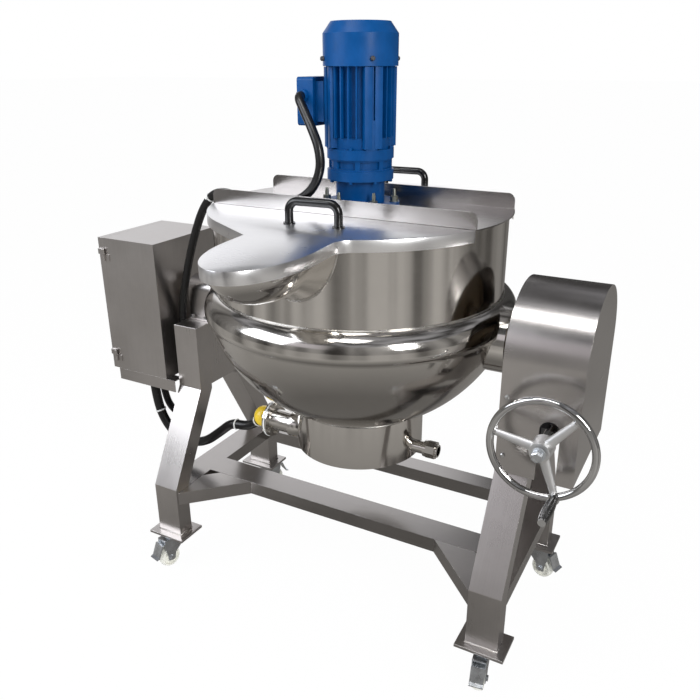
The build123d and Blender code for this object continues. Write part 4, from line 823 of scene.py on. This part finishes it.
class KETTLE_OT_nozzle(bpy.types.Operator):
    """Turn the heater's nozzle with its flange, bolts, gasket and yellow cap"""
    bl_idname = "kettle.nozzle"
    bl_label = "Heater Nozzle"

    def execute(self, context):
        axis, centre = (-1, 0, 0), (0, NOZZLE_Y, NOZZLE_HEIGHT)
        stub = spun([(0.0, 0.150), (0.030, 0.150), (0.036, 0.164), (0.036, 0.184), (0.033, 0.186),
                     (0.030, 0.189), (0.030, 0.242), (0.0312, 0.2445), (0.050, 0.2445), (0.051, 0.2455),
                     (0.051, 0.2492), (0.050, 0.250), (0.0, 0.250)], 96, axis, centre)
        face = spun([(0.0, 0.2535), (0.050, 0.2535), (0.051, 0.2545), (0.051, 0.2578), (0.050, 0.2585),
                     (0.031, 0.2585), (0.030, 0.261), (0.0, 0.261)], 96, axis, centre)
        bolts = []
        for k in range(6):
            turn = 2 * pi * (k + 0.5) / 6
            across, up = FLANGE_BOLTS * cos(turn), FLANGE_BOLTS * sin(turn)
            for seat, way in ((-0.2585, -1), (-0.2445, 1)):
                bolts.append(hex_bolt((seat, NOZZLE_Y + across, NOZZLE_HEIGHT + up), (way, 0, 0), 0.009, 0.005))
        nozzle = finish_piece(joined([stub, face, *bolts]), "nozzle_turned", "kettle", "kettle")
        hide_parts("heater_nozzle")
        gasket = finish_piece(spun([(0.0, 0.2498), (0.0515, 0.2498), (0.052, 0.2515), (0.0515, 0.2537),
                                    (0.0, 0.2537)], 96, axis, centre), "nozzle_gasket", "white", "kettle")
        cap = [(0.0, 0.2605), (0.019, 0.2605), (0.0205, 0.2625)]
        cap += [(0.0305 * cos(radians(a)), 0.2840 + 0.0285 * sin(radians(a))) for a in range(-44, 90, 6)]
        cap = finish_piece(spun(cap + [(0.0, 0.3125)], 72, axis, centre), "yellow_cap", "yellow", "kettle", 50)
        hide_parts("nozzle_cap")
        return {"FINISHED"}


# ---------------------------------------------------------------- small parts

def around(radius, turn, height):
    """A place round the motor's axis."""
    return (radius * cos(turn), radius * sin(turn), height)


class KETTLE_OT_fasteners(bpy.types.Operator):
    """Place the bolts and screws of the bearings, cover and drive"""
    bl_idname = "kettle.fasteners"
    bl_label = "Fasteners"

    def execute(self, context):
        width = context.scene.kettle_sizes.bolt_width
        for name, centre_x in (("left_bearing_bolts", LEFT_LEG_X), ("right_bearing_bolts", RIGHT_LEG_X)):
            bolts = [hex_bolt((centre_x + along * BEARING_BOLT_X, across * BEARING_BOLT_Y, BEARING_TOP),
                              (0, 0, 1), width * 0.8, 0.006) for along in (-1, 1) for across in (-1, 1)]
            piece = finish_piece(joined(bolts), name, "turned", "stand")
        for side, leg_x in (("left", LEFT_LEG_X), ("right", RIGHT_LEG_X)):
            for end, foot_y in (("front", -FOOT_Y), ("rear", FOOT_Y)):
                bead(f"{end}_{side}_foot_weld", [
                    (leg_x + along * LEG_WIDTH / 2, foot_y + across * LEG_DEPTH / 2, FOOT_HEIGHT)
                    for along, across in ((-1, -1), (1, -1), (1, 1), (-1, 1))], 0.004, "stand")
        screws = [round_screw((COVER_SCREW_X, side * COVER_HALF, height), (0, side, 0), 0.0055, 0.0035)
                  for side in (-1, 1) for height in COVER_SCREW_HEIGHTS]
        piece = finish_piece(joined(screws), "cover_screws", "turned", "stand")
        screws = [round_screw(around(COWL_RADIUS, turn, COWL_SCREW_HEIGHT), (cos(turn), sin(turn), 0),
                              0.0052, 0.006) for turn in (radians(-45 + 90 * k) for k in range(4))]
        piece = finish_piece(joined(screws), "cowl_screws", "iron", "kettle")
        return {"FINISHED"}


class KETTLE_OT_drive(bpy.types.Operator):
    """Add the motor's flat pads, the ring bolts and the nuts on the base studs"""
    bl_idname = "kettle.drive"
    bl_label = "Drive Details"

    def execute(self, context):
        pads = []
        for turn in (radians(PAD_TURN + 90 * k) for k in range(4)):
            for beside in (-PAD_APART, PAD_APART):
                place = (PAD_RADIUS * cos(turn) - beside * sin(turn),
                         PAD_RADIUS * sin(turn) + beside * cos(turn), PAD_HEIGHT)
                pads.append(added(bpy.ops.mesh.primitive_cube_add, size=1, rotation=(0, 0, turn),
                                  location=place))
                bpy.ops.transform.resize(value=PAD_SIZE, orient_type="LOCAL")
                apply_modifier(pads[-1], "BEVEL", width=0.0022, segments=3)
        piece = finish_piece(joined(pads), "motor_pads", "enamel", "kettle")
        bolts = [hex_bolt(around(RING_BOLT_RADIUS, turn, height), (0, 0, way), 0.0085, 0.005, False)
                 for turn in (radians(10 + 45 * k) for k in range(8)) for height, way in RING_FACES]
        piece = finish_piece(joined(bolts), "ring_bolts", "enamel", "kettle")
        nuts = []
        for turn in (radians(20 + 60 * k) for k in range(6)):
            seat = around(STUD_RADIUS, turn, STUD_SEAT)
            nuts.append(hex_bolt(seat, (0, 0, 1), 0.0165, 0.010))
            nuts.append(round_screw(seat, (0, 0, 1), 0.0046, 0.0225))
        piece = finish_piece(joined(nuts), "base_nuts", "nut", "kettle")
        nut = hex_bolt((WORM_X, HUB_FACE_Y, WORM_HEIGHT), (0, -1, 0), 0.022, 0.014)
        piece = finish_piece(nut, "hub_nut", "zinc", "worm")
        return {"FINISHED"}


# ---------------------------------------------------------------- stage

def lifted_paint(name, colour, lift):
    """Matt floor paint that shows a share of pure white to all but its own soft shadows."""
    finish = Finish(name)
    tree = finish.tree
    finish.feed("Base Color", colour)
    finish.feed("Roughness", 0.9)
    rays = finish.node("ShaderNodeLightPath", {}, {})
    seen = finish.node("ShaderNodeMath", {"operation": "MAXIMUM"}, {0: rays[0], 1: rays[6]})[0]
    glow = tree.nodes.new("ShaderNodeEmission")
    mix = tree.nodes.new("ShaderNodeMixShader")
    tree.links.new((seen * lift).socket, mix.inputs[0])
    tree.links.new(finish.shader.outputs[0], mix.inputs[1])
    tree.links.new(glow.outputs[0], mix.inputs[2])
    tree.links.new(mix.outputs[0], tree.nodes["Material Output"].inputs[0])
    return finish.material


def only_reflected(piece, strength):
    """Make a stage object a soft grey panel that only polished metal shows."""
    finish = Finish(piece.name)
    finish.feed("Base Color", (0, 0, 0))
    finish.feed("Specular IOR Level", 0.0)
    finish.feed("Emission Strength", 1.0)
    finish.feed("Emission Color", strength(finish))
    piece.data.materials.append(finish.material)
    piece.visible_camera = False
    piece.visible_diffuse = False
    piece.visible_transmission = False
    piece.visible_volume_scatter = False
    piece.visible_shadow = False


def wall_tone(finish):
    """Upright soft bands of grey, with one bright side behind the kettle on its left."""
    bands = finish.noise(finish.stretched((0.55, 0.55, 0.05)), 1.0, 3.0, 0.6)
    axes = finish.node("ShaderNodeSeparateXYZ", {}, {"Vector": finish.place})
    toward = (axes[1] * BRIGHT_SIDE[1] + axes[0] * BRIGHT_SIDE[0]) / WALL_RADIUS
    bright = finish.band(toward, 0.895, 0.935)
    grey = finish.blend(finish.band(bands, 0.38, 0.62), (0.035, 0.032, 0.030), (0.36, 0.35, 0.34))
    ahead = (axes[0] * BRIGHT_FRONT[0] + axes[1] * BRIGHT_FRONT[1]) / WALL_RADIUS
    high = finish.band(ahead, 0.80, 0.92) * finish.band(axes[2], -0.3, 0.3)
    behind = (axes[0] * DARK_BACK[0] + axes[1] * DARK_BACK[1]) / WALL_RADIUS
    grey = finish.blend(finish.band(behind, 0.80, 0.94, 0.0, 0.8), grey, (0.03, 0.03, 0.03))
    return finish.blend(bright, finish.blend(high, grey, (0.60, 0.57, 0.60)), (0.98, 0.98, 1.0))


def mat_tone(finish):
    """Floor tones with a painted shadow that darkens them under the kettle, darker again towards the back, and
    soft streaks that run outwards.
    """
    away = finish.node("ShaderNodeVectorMath", {"operation": "LENGTH"}, {0: finish.place}, "Value")
    heading = finish.node("ShaderNodeVectorMath", {"operation": "NORMALIZE"}, {0: finish.place}, "Vector")
    streaks = finish.band(finish.noise(heading, 3.4, 2.0, 0.55), 0.36, 0.62, 0.25, 1.0)
    streaks = 1 - finish.band(away, 1.0, 2.0) * (1 - streaks)
    # Painted shadow of the kettle: the tone drops to 0.3 within 0.45 m of its centre and is full beyond 1.5 m;
    # the next line also halves it towards the back.
    painted_shadow_and_back_fade = finish.band(away, 0.45, 1.5, 0.30, 1.0)
    axes = finish.node("ShaderNodeSeparateXYZ", {}, {"Vector": finish.place})
    painted_shadow_and_back_fade = painted_shadow_and_back_fade * finish.band(axes[1], 0.3, 1.6, 1.0, 0.5)
    return finish.blend(streaks * painted_shadow_and_back_fade, (0.028, 0.025, 0.022), (0.46, 0.445, 0.425))


def ceiling_tone(finish):
    """A dim ceiling with paler patches."""
    patches = finish.noise(finish.place, 0.55, 2.0, 0.5)
    return finish.blend(finish.band(patches, 0.40, 0.62), (0.045, 0.044, 0.043), (0.38, 0.38, 0.40))


def area_lamp(name, place, target, size, energy, colour=(1, 1, 1)):
    """A soft rectangular lamp turned to a target."""
    data = bpy.data.lights.new(name, "AREA")
    data.shape = "RECTANGLE"
    data.size, data.size_y = size
    data.energy = energy
    data.color = colour
    lamp = linked(name, data)
    lamp.location = place
    lamp.rotation_euler = (Vector(target) - Vector(place)).to_track_quat("-Z", "Y").to_euler()


class KETTLE_OT_stage(bpy.types.Operator):
    """Set up the camera, floor, world and lamps"""
    bl_idname = "kettle.stage"
    bl_label = "Stage"

    def execute(self, context):
        scene = context.scene
        data = bpy.data.cameras.new("camera")
        data.sensor_width = 36.0
        data.lens = 37.324
        camera = bpy.data.objects.new("camera", data)
        camera.matrix_world = (Matrix.Translation((0.83696, -1.5877, 1.41233))
                               @ Matrix.Rotation(radians(28.65), 4, "Z")
                               @ Matrix.Rotation(radians(90 - 21.67), 4, "X")
                               @ Matrix.Rotation(radians(-0.2), 4, "Z"))
        scene.collection.objects.link(camera)
        scene.camera = camera
        scene.view_settings.view_transform = "Standard"

        floor = added(bpy.ops.mesh.primitive_plane_add, size=120, location=(0, 0, 0))
        floor.name = "floor"
        floor.data.materials.append(lifted_paint("floor_paint", (0.90, 0.90, 0.90), 0.98))
        for name, height, tone in (("floor_mat", MAT_HEIGHT, mat_tone),
                                   ("studio_ceiling", CEILING_HEIGHT, ceiling_tone)):
            disc = added(bpy.ops.mesh.primitive_circle_add, vertices=64, radius=WALL_RADIUS, fill_type="NGON",
                         location=(0, 0, height))
            disc.name = name
            only_reflected(disc, tone)
        wall = added(bpy.ops.mesh.primitive_cylinder_add, vertices=96, radius=WALL_RADIUS, depth=WALL_HEIGHT,
                     end_fill_type="NOTHING", location=(0, 0, WALL_HEIGHT / 2))
        wall.name = "studio_wall"
        only_reflected(wall, wall_tone)

        world = bpy.data.worlds.new("studio")
        scene.world = world
        world.use_nodes = True
        tree = world.node_tree
        back = tree.nodes["Background"]
        back.inputs["Color"].default_value = (0.95, 0.97, 1.0, 1)
        back.inputs["Strength"].default_value = 0.55
        white = tree.nodes.new("ShaderNodeBackground")
        white.inputs["Color"].default_value = (1, 1, 1, 1)
        rays = tree.nodes.new("ShaderNodeLightPath")
        seen = rays.outputs["Is Camera Ray"]
        for name in ("Is Glossy Ray", "Is Transmission Ray"):
            either = tree.nodes.new("ShaderNodeMath")
            either.operation = "MAXIMUM"
            tree.links.new(seen, either.inputs[0])
            tree.links.new(rays.outputs[name], either.inputs[1])
            seen = either.outputs[0]
        mix = tree.nodes.new("ShaderNodeMixShader")
        for source, socket in zip((seen, back.outputs[0], white.outputs[0]), mix.inputs):
            tree.links.new(source, socket)
        tree.links.new(mix.outputs[0], tree.nodes["World Output"].inputs[0])

        area_lamp("key", (-2.3, -2.6, 2.6), (0, 0, 0.8), (2.5, 2.3), 72, (0.90, 0.94, 1.0))
        area_lamp("side", (3.0, -1.9, 2.4), (0.2, 0, 0.7), (0.8, 1.6), 70)
        area_lamp("top", (-0.2, -1.6, 4.2), (0, 0, 0.9), (2.6, 0.9), 50)
        return {"FINISHED"}


class KETTLE_PT_panel(bpy.types.Panel):
    """The kettle's steps in the sidebar"""
    bl_idname = "KETTLE_PT_panel"
    bl_label = "Steam Jacketed Kettle"
    bl_space_type = "VIEW_3D"
    bl_region_type = "UI"
    bl_category = "Kettle"

    def draw(self, context):
        for group in (context.scene.kettle_sizes, context.scene.kettle_colours):
            for name in group.__annotations__:
                self.layout.prop(group, name)
        for operator in OPERATORS:
            self.layout.operator(operator.bl_idname)


OPERATORS = (KETTLE_OT_stage, KETTLE_OT_conduits, KETTLE_OT_nodes, KETTLE_OT_front_lid, KETTLE_OT_spout,
             KETTLE_OT_jacket, KETTLE_OT_nozzle, KETTLE_OT_fasteners, KETTLE_OT_drive)
CLASSES = (KettleColours, KettleSizes, *OPERATORS, KETTLE_PT_panel)


def register():
    for item in CLASSES:
        bpy.utils.register_class(item)
    bpy.types.Scene.kettle_colours = bpy.props.PointerProperty(type=KettleColours)
    bpy.types.Scene.kettle_sizes = bpy.props.PointerProperty(type=KettleSizes)


def unregister():
    del bpy.types.Scene.kettle_sizes
    del bpy.types.Scene.kettle_colours
    for item in reversed(CLASSES):
        bpy.utils.unregister_class(item)


def main():
    """Dress the kettle, one operator after another."""
    register()
    make_finishes()
    bpy.ops.kettle.stage()
    bpy.ops.kettle.conduits()
    bpy.ops.kettle.nodes()
    bpy.ops.kettle.front_lid()
    bpy.ops.kettle.spout()
    bpy.ops.kettle.jacket()
    bpy.ops.kettle.nozzle()
    bpy.ops.kettle.fasteners()
    bpy.ops.kettle.drive()


if __name__ == "__main__":
    main()
